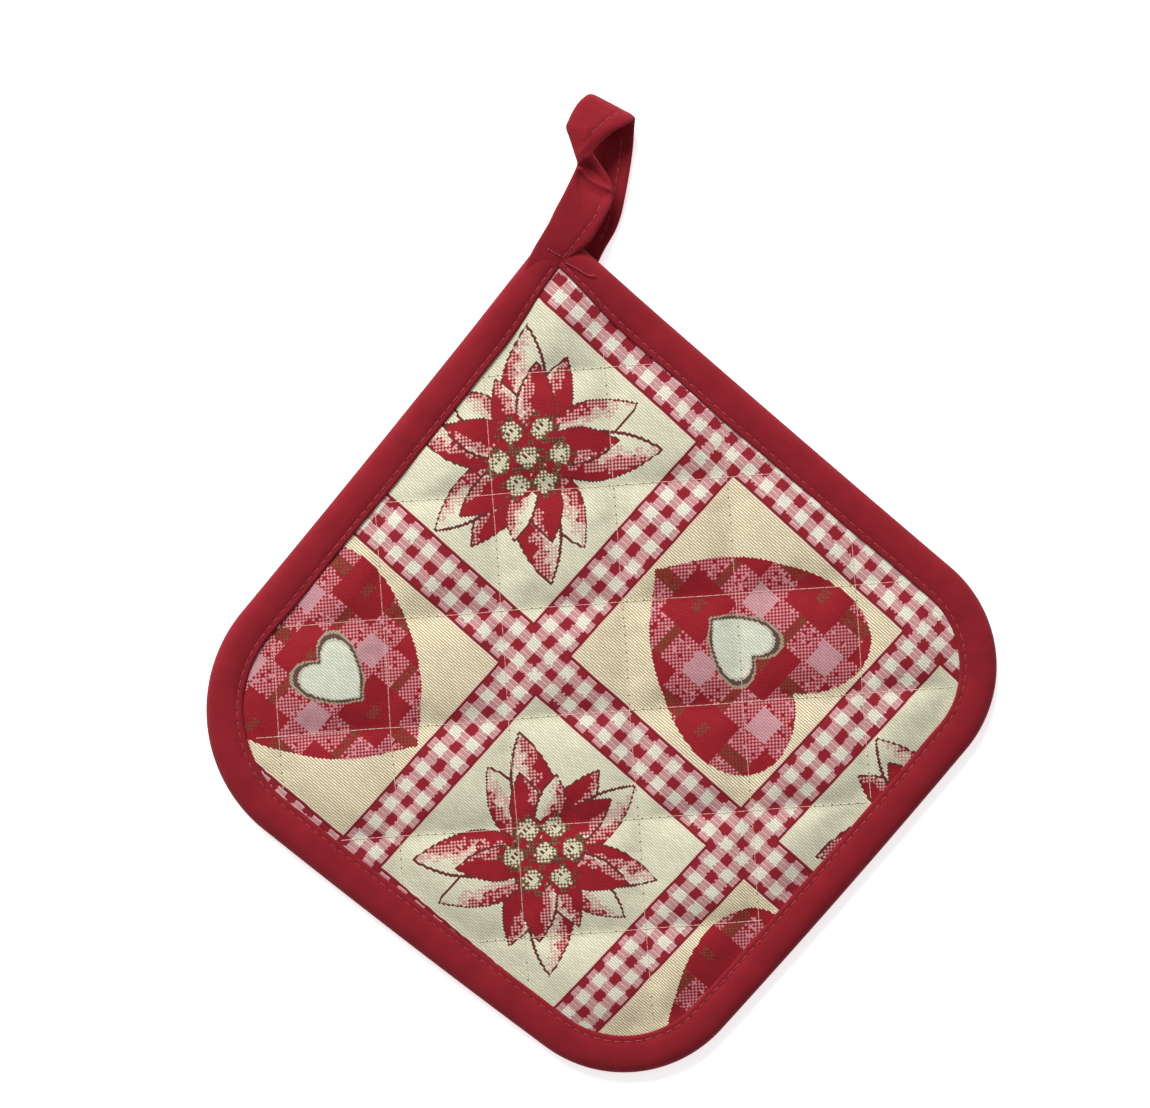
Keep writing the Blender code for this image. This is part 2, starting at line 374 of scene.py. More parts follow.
def lattice(loop, steps):
    """Points that follow the quilting rows, inside a ring."""
    def places(rows):
        edges = all_rows(rows)
        return [a + (b - a) * k / steps for a, b in zip(edges, edges[1:]) for k in range(steps)]
    across, along = np.meshgrid(places(ROWS_DOWN), places(ROWS_ACROSS))
    x, y = from_quilt(across.ravel(), along.ravel())
    keep = depth_inside(x, y, loop) > LATTICE_MARGIN
    return np.stack([x[keep], y[keep]], axis=1)


# %% The pad as one closed shell
def filling(x, y):
    """How far the pad has risen from its edge, and the puffs of the two sets of rows, from 0 to 1."""
    across, along = quilt_place(x, y)
    rise = smooth(depth_inside(x, y, PAD_RING(FACE_EDGE)) / EDGE_RISE)
    return rise, puff(across, ROWS_DOWN), puff(along, ROWS_ACROSS)


def face_height(x, y, fullness):
    rise, down, across = filling(x, y)
    filled = CHANNEL_HEIGHT + PUFF_HEIGHT * fullness * down * across
    return FACE_EDGE_HEIGHT + (filled - FACE_EDGE_HEIGHT) * rise


def back_height(x, y, fullness):
    """The back bulges down to the surface that it lies on, however full the face is."""
    rise, down, across = filling(x, y)
    return BACK_CHANNEL * (1 - rise * down * across)


def build_pad(fullness):
    """Rings from the back's edge round the hidden rim up to the face's edge, closed by two lattices."""
    verts, faces = [], []
    for distance, height in PAD_RINGS:
        verts += [(x, y, height) for x, y in PAD_RING(distance)]
    size = len(verts) // len(PAD_RINGS)
    for lower in range(0, len(verts) - size, size):
        for k in range(size):
            before = lower + (k - 1) % size
            faces.append((lower + k, before, before + size, lower + k + size))
    loop = PAD_RING(FACE_EDGE)
    border = list(range(size))[::-1]
    for steps, first, height in ((PAD_STEPS, len(verts) - size, face_height), (BACK_STEPS, 0, back_height)):
        flat = [Vector(place) for place in (*loop, *lattice(loop, steps))]
        corners, _, triangles, *_ = delaunay_2d_cdt(flat, [], [border], 1, 0.0001)
        extra = np.array([tuple(p) for p in corners[size:]])
        numbers = [*range(first, first + size), *range(len(verts), len(verts) + len(extra))]
        levels = height(extra[:, 0], extra[:, 1], fullness)
        verts += [(x, y, z) for (x, y), z in zip(extra, levels)]
        is_face = height is face_height
        start = len(faces)
        faces += [[numbers[i] for i in (t if is_face else t[::-1])] for t in triangles]
        if is_face:
            face_numbers = range(start, len(faces))
    verts = np.array(verts)
    verts[:, 2] += corner_lift(verts[:, 0], verts[:, 1])
    made = new_piece("woven_pad", verts, faces)
    for index in face_numbers:
        made.data.polygons[index].material_index = 1
    return made


PAD_RING = ring_maker(PAD_SPACING)
pad = build_pad(fullness=FULL_BEFORE_FILLING)
print("pad:", len(pad.data.vertices), "points,", len(pad.data.polygons), "faces")

# %% [markdown]
# The triangles between four lattice points are joined back into squares first. Squares bend evenly in
# the simulation, and a subdivision surface of them is smooth, where triangles would leave small lumps.

# %% Squares
JOIN_ANGLE = math.radians(40)

deselect_all()
bpy.context.view_layer.objects.active = pad
pad.select_set(True)
bpy.ops.object.mode_set(mode="EDIT")
bpy.ops.mesh.select_all(action="SELECT")
bpy.ops.mesh.tris_convert_to_quads(face_threshold=JOIN_ANGLE, shape_threshold=JOIN_ANGLE, materials=True)
bpy.ops.mesh.normals_make_consistent(inside=False)
bpy.ops.object.mode_set(mode="OBJECT")
print("after joining:", len(pad.data.polygons), "faces")

# %% [markdown]
# ### Where each thread lies
# The pattern is woven, so it must stretch and lean with the cloth. Flat coordinates would do for a flat
# cloth. Here each point keeps its place in the cloth instead, counted in checks of the gingham from the
# crossing near the middle. A pot holder is cut and sewn by eye, and the pattern of this one leans a
# little more towards its lower right side.

# %% Cloth places, counted in checks
CLOTH_TURN = math.radians(41.6)
CROSSING = (-21.0, -24.0)
CHECK_ACROSS = 7.22
CHECK_ABOVE = 7.67
CHECK_BELOW = 7.41
# The lean, fitted to the photograph: it grows over so many columns and so many millimetres down
LEAN_COLUMNS = 9.8
LEAN_DROP = 71.0
LEAN_STARTS = 0.54
DRAWN_ACROSS = 0.36
FANNED_ACROSS = 0.107
FANNED_MORE = 0.036
TILTED_ABOVE = 0.089
TILTED_BELOW = 0.118
TILTED_MORE = 0.19


def cloth_place(x, y):
    """Checks across, along the weft, and checks down, along the warp."""
    cosine, sine = math.cos(CLOTH_TURN), math.sin(CLOTH_TURN)
    east, north = x - CROSSING[0], y - CROSSING[1]
    across = east * cosine - north * sine
    down = -east * sine - north * cosine
    columns = across / CHECK_ACROSS
    rows = np.where(down < 0, down / CHECK_ABOVE, down / CHECK_BELOW)
    drop = down / LEAN_DROP
    reach = columns / LEAN_COLUMNS - LEAN_STARTS
    lean_across = -(DRAWN_ACROSS + FANNED_ACROSS * columns) * drop - FANNED_MORE * columns * drop ** 2
    tilted = np.where(rows < 0, TILTED_ABOVE * reach, TILTED_BELOW + TILTED_MORE * reach)
    return columns - lean_across / CHECK_ACROSS, rows + rows * tilted / CHECK_BELOW


places = coordinates(pad)
columns, rows = cloth_place(places[:, 0], places[:, 1])
cloth = pad.data.attributes.new("cloth", "FLOAT_VECTOR", "POINT")
cloth.data.foreach_set("vector", np.stack([columns, rows, rows * 0], axis=1).ravel())
print("checks across", round(np.ptp(columns), 1), "and down", round(np.ptp(rows), 1))

# %% Fill the squares
FILL_FRAMES = 20
FILL_PRESSURE = 4.0
MOST_RISE = 2.0
PINNED_TO_ROW = 0.05
PINNED_TO_EDGE = 1.0


def on_face(piece):
    """Which points belong to the woven face."""
    found = np.zeros(len(piece.data.vertices), bool)
    for face in piece.data.polygons:
        if face.material_index == 1:
            found[list(face.vertices)] = True
    return found


def fill(piece):
    """Air pressure between the pinned rows, by Blender's cloth simulation."""
    start = coordinates(piece)
    x, y = start[:, 0], start[:, 1]
    across, along = quilt_place(x, y)
    from_row = np.minimum(row_distance(across, ROWS_DOWN), row_distance(along, ROWS_ACROSS))
    from_edge = depth_inside(x, y, PAD_RING(FACE_EDGE))
    free = on_face(piece) & (from_row >= PINNED_TO_ROW) & (from_edge > PINNED_TO_EDGE)
    pins = piece.vertex_groups.new(name="pinned")
    pins.add(np.flatnonzero(~free).tolist(), 1.0, "REPLACE")
    stuffing = piece.modifiers.new("Filling", "CLOTH")
    cloth = stuffing.settings
    cloth.quality = 6
    cloth.mass = 0.3
    cloth.tension_stiffness = 12.0
    cloth.compression_stiffness = 12.0
    cloth.shear_stiffness = 6.0
    cloth.bending_stiffness = 6.0
    cloth.air_damping = 4.0
    cloth.vertex_group_mass = "pinned"
    cloth.shrink_min = -0.006
    cloth.use_pressure = True
    cloth.uniform_pressure_force = FILL_PRESSURE
    cloth.effector_weights.gravity = 0.0
    stuffing.collision_settings.use_collision = False
    for step in range(1, FILL_FRAMES + 1):
        bpy.context.scene.frame_set(step)
    bpy.ops.object.modifier_apply(modifier=stuffing.name)
    bpy.context.scene.frame_set(1)
    change = coordinates(piece) - start
    length = np.maximum(np.linalg.norm(change, axis=1, keepdims=True), 1e-6)
    print("most rise", round(length.max(), 2), "mm, typical", round(float(np.median(length[free])), 2), "mm")
    move_to(piece, start + change * np.minimum(1.0, MOST_RISE / length))


fill(pad)

# %% [markdown]
# ### Puckers
# Sewing thread is tighter than the cloth, so the cloth gathers into short soft ripples along each row.
# They are finer than the simulation's squares, so they come after one subdivision, by small moves of the
# vertices that fade within a few millimetres of the row.

# %% Subdivide and pucker
PUCKER_DEPTH = 0.085
PUCKER_LENGTH = 5.5
PUCKER_FADE = 4.5
PUCKER_DRIFT = 0.05
UNEVEN_FILL = 0.09
UNEVEN_LENGTH = 26.0
ROW_HALF = 0.5
CALM_EDGE = 1.0
CALM_FADE = 6.0
PUCKER_SEEDS = (3.1, 7.7)
UNEVEN_SEED = 1.3

finer = pad.modifiers.new("Finer", "SUBSURF")
finer.levels = finer.render_levels = 1
bpy.ops.object.modifier_apply(modifier=finer.name)

places = coordinates(pad)
x, y = places[:, 0], places[:, 1]
across, along = quilt_place(x, y)
from_down, from_across = row_distance(across, ROWS_DOWN), row_distance(along, ROWS_ACROSS)
calm = smooth((depth_inside(x, y, PAD_RING(FACE_EDGE)) - CALM_EDGE) / CALM_FADE) * on_face(pad)
for distance, travel, seed in zip((from_down, from_across), (along, across), PUCKER_SEEDS):
    gather = ripple(travel, across * PUCKER_DRIFT, PUCKER_LENGTH, seed)
    places[:, 2] += PUCKER_DEPTH * gather * np.exp(-distance / PUCKER_FADE) * calm
places[:, 2] += UNEVEN_FILL * ripple(x, y, UNEVEN_LENGTH, UNEVEN_SEED) * calm * (from_down > ROW_HALF)
move_to(pad, places)
pad.data.shade_smooth()
print("pad:", len(pad.data.vertices), "points, highest", round(places[:, 2].max(), 2), "mm")

# %% [markdown]
# ## The woven face as a material
# The cloth is a jacquard: each place on the grid of threads shows a cream, pink, red or brown thread, and
# softer tones are a checkerboard of two. It could be drawn as smooth shapes, but then its edges would
# lack the steps of the weave. So the material counts threads. It snaps the cloth place to the middle of
# its thread, decides what lies there, and picks the thread's colour. All motifs are drawn by formulas.
# A gingham band is two sets of stripes, the heart is a well-known curve, the flower is one petal formula
# turned round a centre, and its seed heads are small discs.

# %% Thread colours
IVORY = colour("#d6d3b8")
BEIGE = colour("#e3d7b8")
BEIGE_GAP = colour("#ad9973")
CHECK_CREAM = colour("#dcd9c6")
CHECK_PINK = colour("#cf9f9c")
CHECK_PINK_DARK = colour("#bd8989")
CHECK_RED = colour("#8f1d2a")
EDGE_RED = colour("#7c1b25")
EDGE_PINK = colour("#dcbcab")
DEEP_RED = colour("#931a25")
PETAL_PINK = colour("#cd9a93")
PLAID_PINK = colour("#c98488")
DUSTY_PINK = colour("#c08d92")
OLIVE = colour("#6f5438")
BAR_BROWN = colour("#74432e")
BROWN = colour("#672a29")
WHITE = colour("#d1d4c0")
SEED_GREEN = colour("#cfcbae")
PALE_TAUPE = colour("#bbb5a0")
TAUPE = colour("#a09079")
GREY_BROWN = colour("#5c463e")

# %% Threads: where each one lies, and how far along its float a point is
THREADS_PER_CHECK = 10
THREAD = 1 / THREADS_PER_CHECK
WANDER = 0.05
WANDER_SCALE = 0.9
SLANTED_ENDS = 0.35
STRAY_THREADS = 0.06

# Jacquard-woven cotton: dyed yarns lie in ribs, which gives the eye stepped edges and a dry, matt face
weave = bpy.data.materials.new("jacquard_cotton")
add = nodes_of(weave)
place = add("ShaderNodeAttribute", out=1, attribute_name="cloth")
wander = add(NOISE, {"Vector": place, "Scale": WANDER_SCALE, "Detail": 1.0}, out=1)
wander = add(VECTOR, wander, (0.5, 0.5, 0.5), operation="SUBTRACT")
wander = add(VECTOR, {"Vector": wander, "Scale": WANDER}, operation="SCALE")
threads = add(VECTOR, place, wander, operation="ADD")
corner = add(VECTOR, threads, (THREAD, THREAD, 1.0), operation="SNAP")
middle = add(VECTOR, corner, (THREAD / 2, THREAD / 2, 0.0), operation="ADD")
# A Mix node's sockets: 0 is the share, 2 and 3 mix numbers, 4 and 5 vectors, 6 and 7 colours
column = add(SPLIT, add(MIX, {0: SLANTED_ENDS, 4: middle, 5: threads}, data_type="VECTOR", out=1))
row = column.node.outputs[1]
column_number, row_number = (
    add("FLOOR", add("MULTIPLY", line, float(THREADS_PER_CHECK))) for line in (column, row))
chequer = add("FLOORED_MODULO", add("ADD", column_number, row_number), 2.0)
stray = add("LESS_THAN", add(CHANCE, corner, noise_dimensions="2D"), STRAY_THREADS)
chequer = add("ABSOLUTE", add("SUBTRACT", chequer, stray))
odd_row = add("FLOORED_MODULO", row_number, 2.0)
print("threads are", round(CHECK_ACROSS / THREADS_PER_CHECK, 2), "mm apart")

# %% [markdown]
# ### Thread relief
# Weft threads lie side by side as fine ribs, and every few threads the warp ties one down. A wave
# texture could draw the ribs, but not ties that keep to them. So the ribs are a sine across each thread,
# and the ties are short dips that step sideways from thread to thread. The same height drives the bump,
# and it paints shade into the gaps between threads and a faint painted highlight on their tops. Each
# stretch between two ties took the dye a little differently.
# Real threads here are 0.65 mm apart, and they are drawn at 0.72 mm so that they still show at the
# photograph's size.

# %% Ribs, ties, painted shade in the gaps, and uneven dye
PAINTED_GAP_SHADE = 0.51
PAINTED_TOP_LIGHT = 1.02
FULL_HEIGHT = 0.75
TIE_EVERY = 3.0
TIE_DIP = 0.16
DYE = (0.93, 1.04)
BEIGE_GAP_BELOW = 0.36

rib_x = add(SPLIT, add(VECTOR, {"Vector": threads, "Scale": float(THREADS_PER_CHECK)}, operation="SCALE"))
rib_y = rib_x.node.outputs[1]
rib_wave = add("SINE", add("MULTIPLY", add("FRACT", rib_y), math.pi))
rib_number = add("FLOOR", rib_y)
tie_place = add("MULTIPLY", add("MULTIPLY_ADD", rib_number, TIE_EVERY / 2, rib_x), 1 / TIE_EVERY)
tie = add("COSINE", add("MULTIPLY", tie_place, 2 * math.pi))
tie = add("MULTIPLY_ADD", tie, -TIE_DIP, 1 - TIE_DIP)
thread_height = add("MULTIPLY", rib_wave, tie)
# Painted shade: the colour is darker in the gaps between threads and a little lighter on their tops
painted_shade_and_dye = add(RANGE, thread_height, 0.0, FULL_HEIGHT, PAINTED_GAP_SHADE, PAINTED_TOP_LIGHT)
stretch = add("ShaderNodeCombineXYZ", add("FLOOR", tie_place), rib_number, 0.0)
dye = add(RANGE, add(CHANCE, stretch, noise_dimensions="3D"), 0.0, 1.0, *DYE)
painted_shade_and_dye = add("MULTIPLY", painted_shade_and_dye, dye)
in_gap = add("LESS_THAN", thread_height, BEIGE_GAP_BELOW)
beige = add(MIX, {0: in_gap, 6: BEIGE, 7: BEIGE_GAP}, **COLOURS)

# %% [markdown]
# ### The gingham
# A gingham is two sets of stripes. Where one does, it is pink, and elsewhere it is cream. Woven checks
# are never clean squares, as a checker texture would draw them: each thread ends a little early or late,
# and the corners are rounded, so both are in the formula. Between two panels the stripes lie a little
# closer together than along them.

# %% Gingham, in checks
REPEAT = 12.0
STRIPE_HALF = 0.24
RAGGED = 0.07
ROUNDED = 0.44
SQUEEZE = 0.045

nears = []
for line, number in ((column, row_number), (row, column_number)):
    loose = add("ADD", add(CHANCE, {"W": number}, noise_dimensions="1D"), -0.5)
    band = add("WRAP", add("MULTIPLY_ADD", loose, RAGGED, line), REPEAT / 2, -REPEAT / 2)
    close = add("MAXIMUM", add("MINIMUM", band, 1.0), -1.0)
    band = add("MULTIPLY_ADD", close, SQUEEZE, band)
    nears.append(add("ABSOLUTE", add("WRAP", band, 0.5, -0.5)))
crossing = add("ADD", *(add("LESS_THAN", near, STRIPE_HALF) for near in nears))
any_red = add("GREATER_THAN", crossing, 0.5)
both_red = add("GREATER_THAN", crossing, 1.5)
not_cut = add("LESS_THAN", add("ADD", *nears), ROUNDED)
both_red = add("MULTIPLY", both_red, not_cut)
pink = add(MIX, {0: odd_row, 6: CHECK_PINK, 7: CHECK_PINK_DARK}, **COLOURS)
gingham = add(MIX, {0: any_red, 6: CHECK_CREAM, 7: pink}, **COLOURS)
gingham = add(MIX, {0: both_red, 6: gingham, 7: CHECK_RED}, **COLOURS)

# %% [markdown]
# ### The panels
# The pattern repeats every 12 checks, with flowers and hearts by turns. Each motif could be placed by
# hand, but a cloth repeats, so one formula counts panels. Each panel counts from its own middle, every
# second row is turned by half, and every fourth column by a quarter more. A panel's edge is one pale and
# one dark thread, and it is straight, so it isn't snapped to the threads.

# %% Panels
BAND_HALF = 1.14
PANEL_HALF = REPEAT / 2 - BAND_HALF
PALE_EDGE = 0.045
DARK_EDGE = 0.155

edge_x = add(SPLIT, threads)
reaches, locals_, indices = [], [], []
for line, edge_line in ((column, edge_x), (row, edge_x.node.outputs[1])):
    from_middle = add("ADD", add("WRAP", edge_line, REPEAT, 0.0), -REPEAT / 2)
    reaches.append(add("ABSOLUTE", from_middle))
    locals_.append(add("ADD", add("WRAP", line, REPEAT, 0.0), -REPEAT / 2))
    indices.append(add("FLOOR", add("MULTIPLY", line, 1 / REPEAT)))
reach = add("MAXIMUM", *reaches)
local_x, local_y = locals_
is_heart = add("FLOORED_MODULO", add("ADD", *indices), 2.0)
half_turn = add("MULTIPLY_ADD", add("FLOORED_MODULO", indices[1], 2.0), 2.0, -1.0)
quarter_turn = add("COMPARE", add("FLOORED_MODULO", indices[0], 4.0), 1.0, 0.1)
minus_x = add("MULTIPLY", local_x, -1.0)
turned_x, turned_y = (
    add("MULTIPLY", add(MIX, {0: quarter_turn, 2: straight, 3: turned}), half_turn)
    for straight, turned in ((local_x, local_y), (local_y, minus_x)))

# %% [markdown]
# ### The heart
# The curve (x² + y² - 1)³ = k x² y³ has a point at its foot and two lobes. Inside it the left side of
# the equation is the smaller one. A larger k above the middle deepens the notch between the lobes, and
# a smaller one below it keeps the foot full. Two discs and a triangle would make a heart too, but with
# straight flanks. A plaid fills the heart, and a small white heart, drawn by the same curve at four
# sizes, sits in the middle inside a brown line and a taupe edge.

# %% Hearts: half width and length unit in checks, the middle's offset, and k for lobes and foot
Heart = namedtuple("Heart", "width length offset lobes foot")
LARGE_HEART = Heart(3.58, 3.98, 0.214, 2.2, 0.8)
SMALL_HEART = Heart(1.04, 1.18, 0.287, 3.0, 1.0)


def inside_heart(along, aside, heart, scale=1.0):
    """1 inside a heart whose lobes point to the positive end of along."""
    up = add("MULTIPLY_ADD", along, 1 / (heart.length * scale), heart.offset / scale)
    side = add("MULTIPLY", aside, 1 / (heart.width * scale))
    side = add("MULTIPLY", side, side)
    disc = add("SUBTRACT", add("MULTIPLY_ADD", up, up, side), 1.0)
    disc = add("POWER", disc, 3.0)
    above = add("GREATER_THAN", up, 0.0)
    fullness = add("MULTIPLY_ADD", above, heart.lobes - heart.foot, heart.foot)
    bulge = add("MULTIPLY", side, add("POWER", up, 3.0))
    return add("LESS_THAN", disc, add("MULTIPLY", bulge, fullness))


# %% Plaid of the heart: a wide red band with a dark line in it, then a pink band
PLAID_REPEAT = 3.7
PLAID_PHASES = (0.62, 0.02)
RED_BAND_HALF = 0.31
PINK_BAND_STARTS = 0.345
DARK_HALVES = (0.06, 0.082)

bands, washes, lines = [], [], []
for line, phase_start, dark_half in zip((turned_x, turned_y), PLAID_PHASES, DARK_HALVES):
    phase = add("MULTIPLY_ADD", line, 1 / PLAID_REPEAT, phase_start)
    phase = add("ABSOLUTE", add("WRAP", phase, 0.5, -0.5))
    bands.append(add("LESS_THAN", phase, RED_BAND_HALF))
    washes.append(add("LESS_THAN", phase, PINK_BAND_STARTS))
    lines.append(add("LESS_THAN", phase, dark_half))
some_red = add("MAXIMUM", *washes)
all_red = add("MULTIPLY", *bands)
mixed = add(MIX, {0: chequer, 6: PLAID_PINK, 7: DEEP_RED}, **COLOURS)
print("plaid repeat", round(PLAID_REPEAT * CHECK_ACROSS, 1), "mm")

# %% Heart panel: dark lines where they cross pink, dots where they meet, and the white heart on top
even = add("SUBTRACT", 1.0, chequer)
off_red = add("SUBTRACT", 1.0, all_red)
on_bar = add("MULTIPLY", add("MULTIPLY", add("MAXIMUM", *lines), off_red), even)
on_dots = add("MULTIPLY", add("MULTIPLY", *lines), even)
plaid = DUSTY_PINK
for here, tone in ((some_red, mixed), (all_red, DEEP_RED), (on_bar, BAR_BROWN), (on_dots, BAR_BROWN)):
    plaid = add(MIX, {0: here, 6: plaid, 7: tone}, **COLOURS)
whole_heart = inside_heart(turned_x, turned_y, LARGE_HEART)
heart_panel = add(MIX, {0: whole_heart, 6: beige, 7: plaid}, **COLOURS)
for scale, tone in ((1.12, TAUPE), (1.04, GREY_BROWN), (0.93, PALE_TAUPE), (0.87, WHITE)):
    here = inside_heart(turned_x, turned_y, SMALL_HEART, scale)
    heart_panel = add(MIX, {0: here, 6: heart_panel, 7: tone}, **COLOURS)

# %% [markdown]
# ### The flower
# A petal is a pointed lens between two arcs. In its own frame, with s from 0 at the heart of the flower
# to 1 at the tip and t from -1 to 1 across, the lens is (2s - 1)² + |t| < 1. One Mapping node turns and
# scales the cloth to that frame, so a table of petals is enough, and no petal is drawn by itself. Each
# petal runs from red on one side to cream on the other, through checkerboards of threads, and has a dark
# outline on its pale side. Later petals cover earlier ones.

# %% Petals: angle in degrees, length and half width in checks, bend, shade from red to cream
PETALS = (
    (10, 4.6, 0.92, 0.55, 0.30),
    (43, 5.5, 1.00, -0.60, -0.10),
    (76, 4.4, 0.84, 0.40, -0.42),
    (109, 4.9, 1.02, -0.70, 0.38),
    (146, 5.0, 0.90, 0.55, 0.02),
    (181, 4.5, 0.90, -0.35, 0.34),
    (217, 5.4, 1.02, 0.75, 0.24),
    (253, 4.3, 0.86, -0.45, -0.34),
    (287, 4.9, 1.00, 0.60, 0.36),
    (323, 5.6, 1.06, -0.55, 0.12),
    (27, 3.8, 0.82, 0.35, -0.55),
    (60, 3.6, 0.74, -0.30, 0.10),
    (93, 3.8, 0.80, 0.40, -0.62),
    (163, 3.9, 0.82, -0.40, -0.50),
    (199, 3.6, 0.74, 0.30, -0.20),
    (236, 3.9, 0.84, -0.45, -0.45),
    (306, 3.8, 0.80, 0.35, -0.60),
)
OUTLINE_SHARE = 0.90
OUTLINE_LEAN = 0.04
OUTLINE_CODE = 10.0
SIDE_SHADE = 0.80
TIP_SHADE = 0.32
SHADE_MIDDLE = 0.62

bloom = add("ShaderNodeCombineXYZ", turned_x, turned_y, 0.0)
tone = 2 * OUTLINE_CODE
for angle, length, half_width, bend, shade in PETALS:
    turn = (0, 0, math.radians(angle))
    along_petal = add(SPLIT, add("ShaderNodeMapping", bloom, (0, 0, 0), turn, (length, half_width, 1.0),
                                 vector_type="TEXTURE"))
    across_petal = along_petal.node.outputs[1]
    square = add("MULTIPLY", along_petal, along_petal)
    across_petal = add("MULTIPLY_ADD", square, -bend, across_petal)
    arch = add("MULTIPLY_ADD", along_petal, 2.0, -1.0)
    lens = add("MULTIPLY_ADD", arch, arch, add("ABSOLUTE", across_petal))
    leaning = add("MULTIPLY_ADD", across_petal, math.copysign(OUTLINE_LEAN, bend), lens)
    on_outline = add("GREATER_THAN", leaning, OUTLINE_SHARE)
    shading = add("MULTIPLY_ADD", along_petal, TIP_SHADE, shade - SHADE_MIDDLE * TIP_SHADE)
    shading = add("MULTIPLY_ADD", across_petal, math.copysign(SIDE_SHADE, bend), shading)
    shading = add("MULTIPLY_ADD", on_outline, OUTLINE_CODE, shading)
    tone = add(MIX, {0: add("LESS_THAN", lens, 1.0), 2: tone, 3: shading})

# %% Petal colours: two thresholds on the tone, moved by the checkerboard and by soft streaks
DITHER = 0.36
STREAKS = 0.8
STREAK_SCALE = 2.2
PINK_FROM = 0.02
CREAM_FROM = 0.38

streaks = add("ADD", add(NOISE, {"Vector": bloom, "Scale": STREAK_SCALE, "Detail": 1.0}), -0.5)
dithered = add("MULTIPLY_ADD", chequer, DITHER, tone)
dithered = add("MULTIPLY_ADD", streaks, STREAKS, dithered)
flower_panel = DEEP_RED
for source, limit, shown in (
    (dithered, PINK_FROM, PETAL_PINK),
    (dithered, CREAM_FROM, IVORY),
    (tone, OUTLINE_CODE / 2, BROWN),
    (tone, OUTLINE_CODE * 1.5, IVORY),
):
    here = add("GREATER_THAN", source, limit)
    flower_panel = add(MIX, {0: here, 6: flower_panel, 7: shown}, **COLOURS)

# %% Seed heads: one in the middle and six around it, uneven discs with dark dots and an olive fringe
#    along  across, in checks
SEEDS = ((0.0, 0.1), (1.25, 0.35), (0.45, 1.2), (-0.75, 1.0), (-1.25, -0.2), (-0.4, -1.15), (0.9, -0.9))
SEED_RADIUS = 0.25
SEED_FRINGE = 0.19
SEED_EYE = 0.21
BED_RADIUS = 0.68
UNEVEN_SEEDS = 0.24
UNEVEN_SCALE = 3.1

seed_distance = REPEAT
for seed in SEEDS:
    apart = add(VECTOR, bloom, (*seed, 0.0), operation="DISTANCE", out=1)
    seed_distance = add("MINIMUM", seed_distance, apart)
rough = add("ADD", add(NOISE, {"Vector": bloom, "Scale": UNEVEN_SCALE, "Detail": 0.0}), -0.5)
seed_distance = add("MULTIPLY_ADD", rough, UNEVEN_SEEDS, seed_distance)
in_bed, in_fringe, in_seed, in_eye = (
    add("LESS_THAN", seed_distance, radius)
    for radius in (BED_RADIUS, SEED_RADIUS + SEED_FRINGE, SEED_RADIUS, SEED_EYE))
in_pair = add("GREATER_THAN", add("FLOORED_MODULO", column_number, 4.0), 1.5)
in_eye = add("MULTIPLY", in_eye, add("MULTIPLY", in_pair, odd_row))
brownish = add("GREATER_THAN", streaks, 0.0)
bed = add(MIX, {0: chequer, 6: OLIVE, 7: BROWN}, **COLOURS)
bed = add(MIX, {0: brownish, 6: DEEP_RED, 7: bed}, **COLOURS)
fringe = add(MIX, {0: chequer, 6: OLIVE, 7: SEED_GREEN}, **COLOURS)
for here, shown in ((in_bed, bed), (in_fringe, fringe), (in_seed, SEED_GREEN), (in_eye, BROWN)):
    flower_panel = add(MIX, {0: here, 6: flower_panel, 7: shown}, **COLOURS)

# %% All together: gingham, dark edge, pale edge, panel, and the threads' painted shade, dye and relief
BUMP_STRENGTH = 0.5
BUMP_DISTANCE = 0.00012

panels = add(MIX, {0: is_heart, 6: flower_panel, 7: heart_panel}, **COLOURS)
pattern = gingham
for margin, shown in ((DARK_EDGE, EDGE_RED), (PALE_EDGE, EDGE_PINK), (0.0, panels)):
    here = add("LESS_THAN", reach, PANEL_HALF + margin)
    pattern = add(MIX, {0: here, 6: pattern, 7: shown}, **COLOURS)
# The base colour is scaled by the painted shade of the threads and by their uneven dye
add(SHADER, {
    "Base Color": add(VECTOR, {"Vector": pattern, "Scale": painted_shade_and_dye}, operation="SCALE"),
    "Roughness": 0.82, "Specular IOR Level": 0.15, "Sheen Weight": 0.03,
    "Normal": add("ShaderNodeBump", {0: BUMP_STRENGTH, 1: BUMP_DISTANCE, "Height": thread_height}),
})
print("woven face:", len(weave.node_tree.nodes), "nodes")

# %% [markdown]
# ## Red cotton
# The binding, the loop and the back are one plain-woven red cotton. A plain red would look like plastic,
# so each crossing of warp and weft is drawn as a small bump, by turns across and along, and the same
# wave paints shade between the threads and a faint painted highlight on their tops. Its threads are a
# third of a millimetre apart, too fine to show from here, and they are drawn half a millimetre apart.
# What the eye sees from a step away is slightly uneven dye and a soft, matt surface.

# %% Plain-woven red cotton
RED_COTTON = colour("#851b25")
RED_COTTON_DARK = colour("#7a1720")
COTTON_THREAD = 0.5
BLOTCH_SCALE = 1.1
BLOTCH_RANGE = (0.3, 0.7)
COTTON_PAINTED_SHADE = (0.87, 1.07)
COTTON_BUMP_STRENGTH = 0.25
COTTON_BUMP_DISTANCE = 0.00006

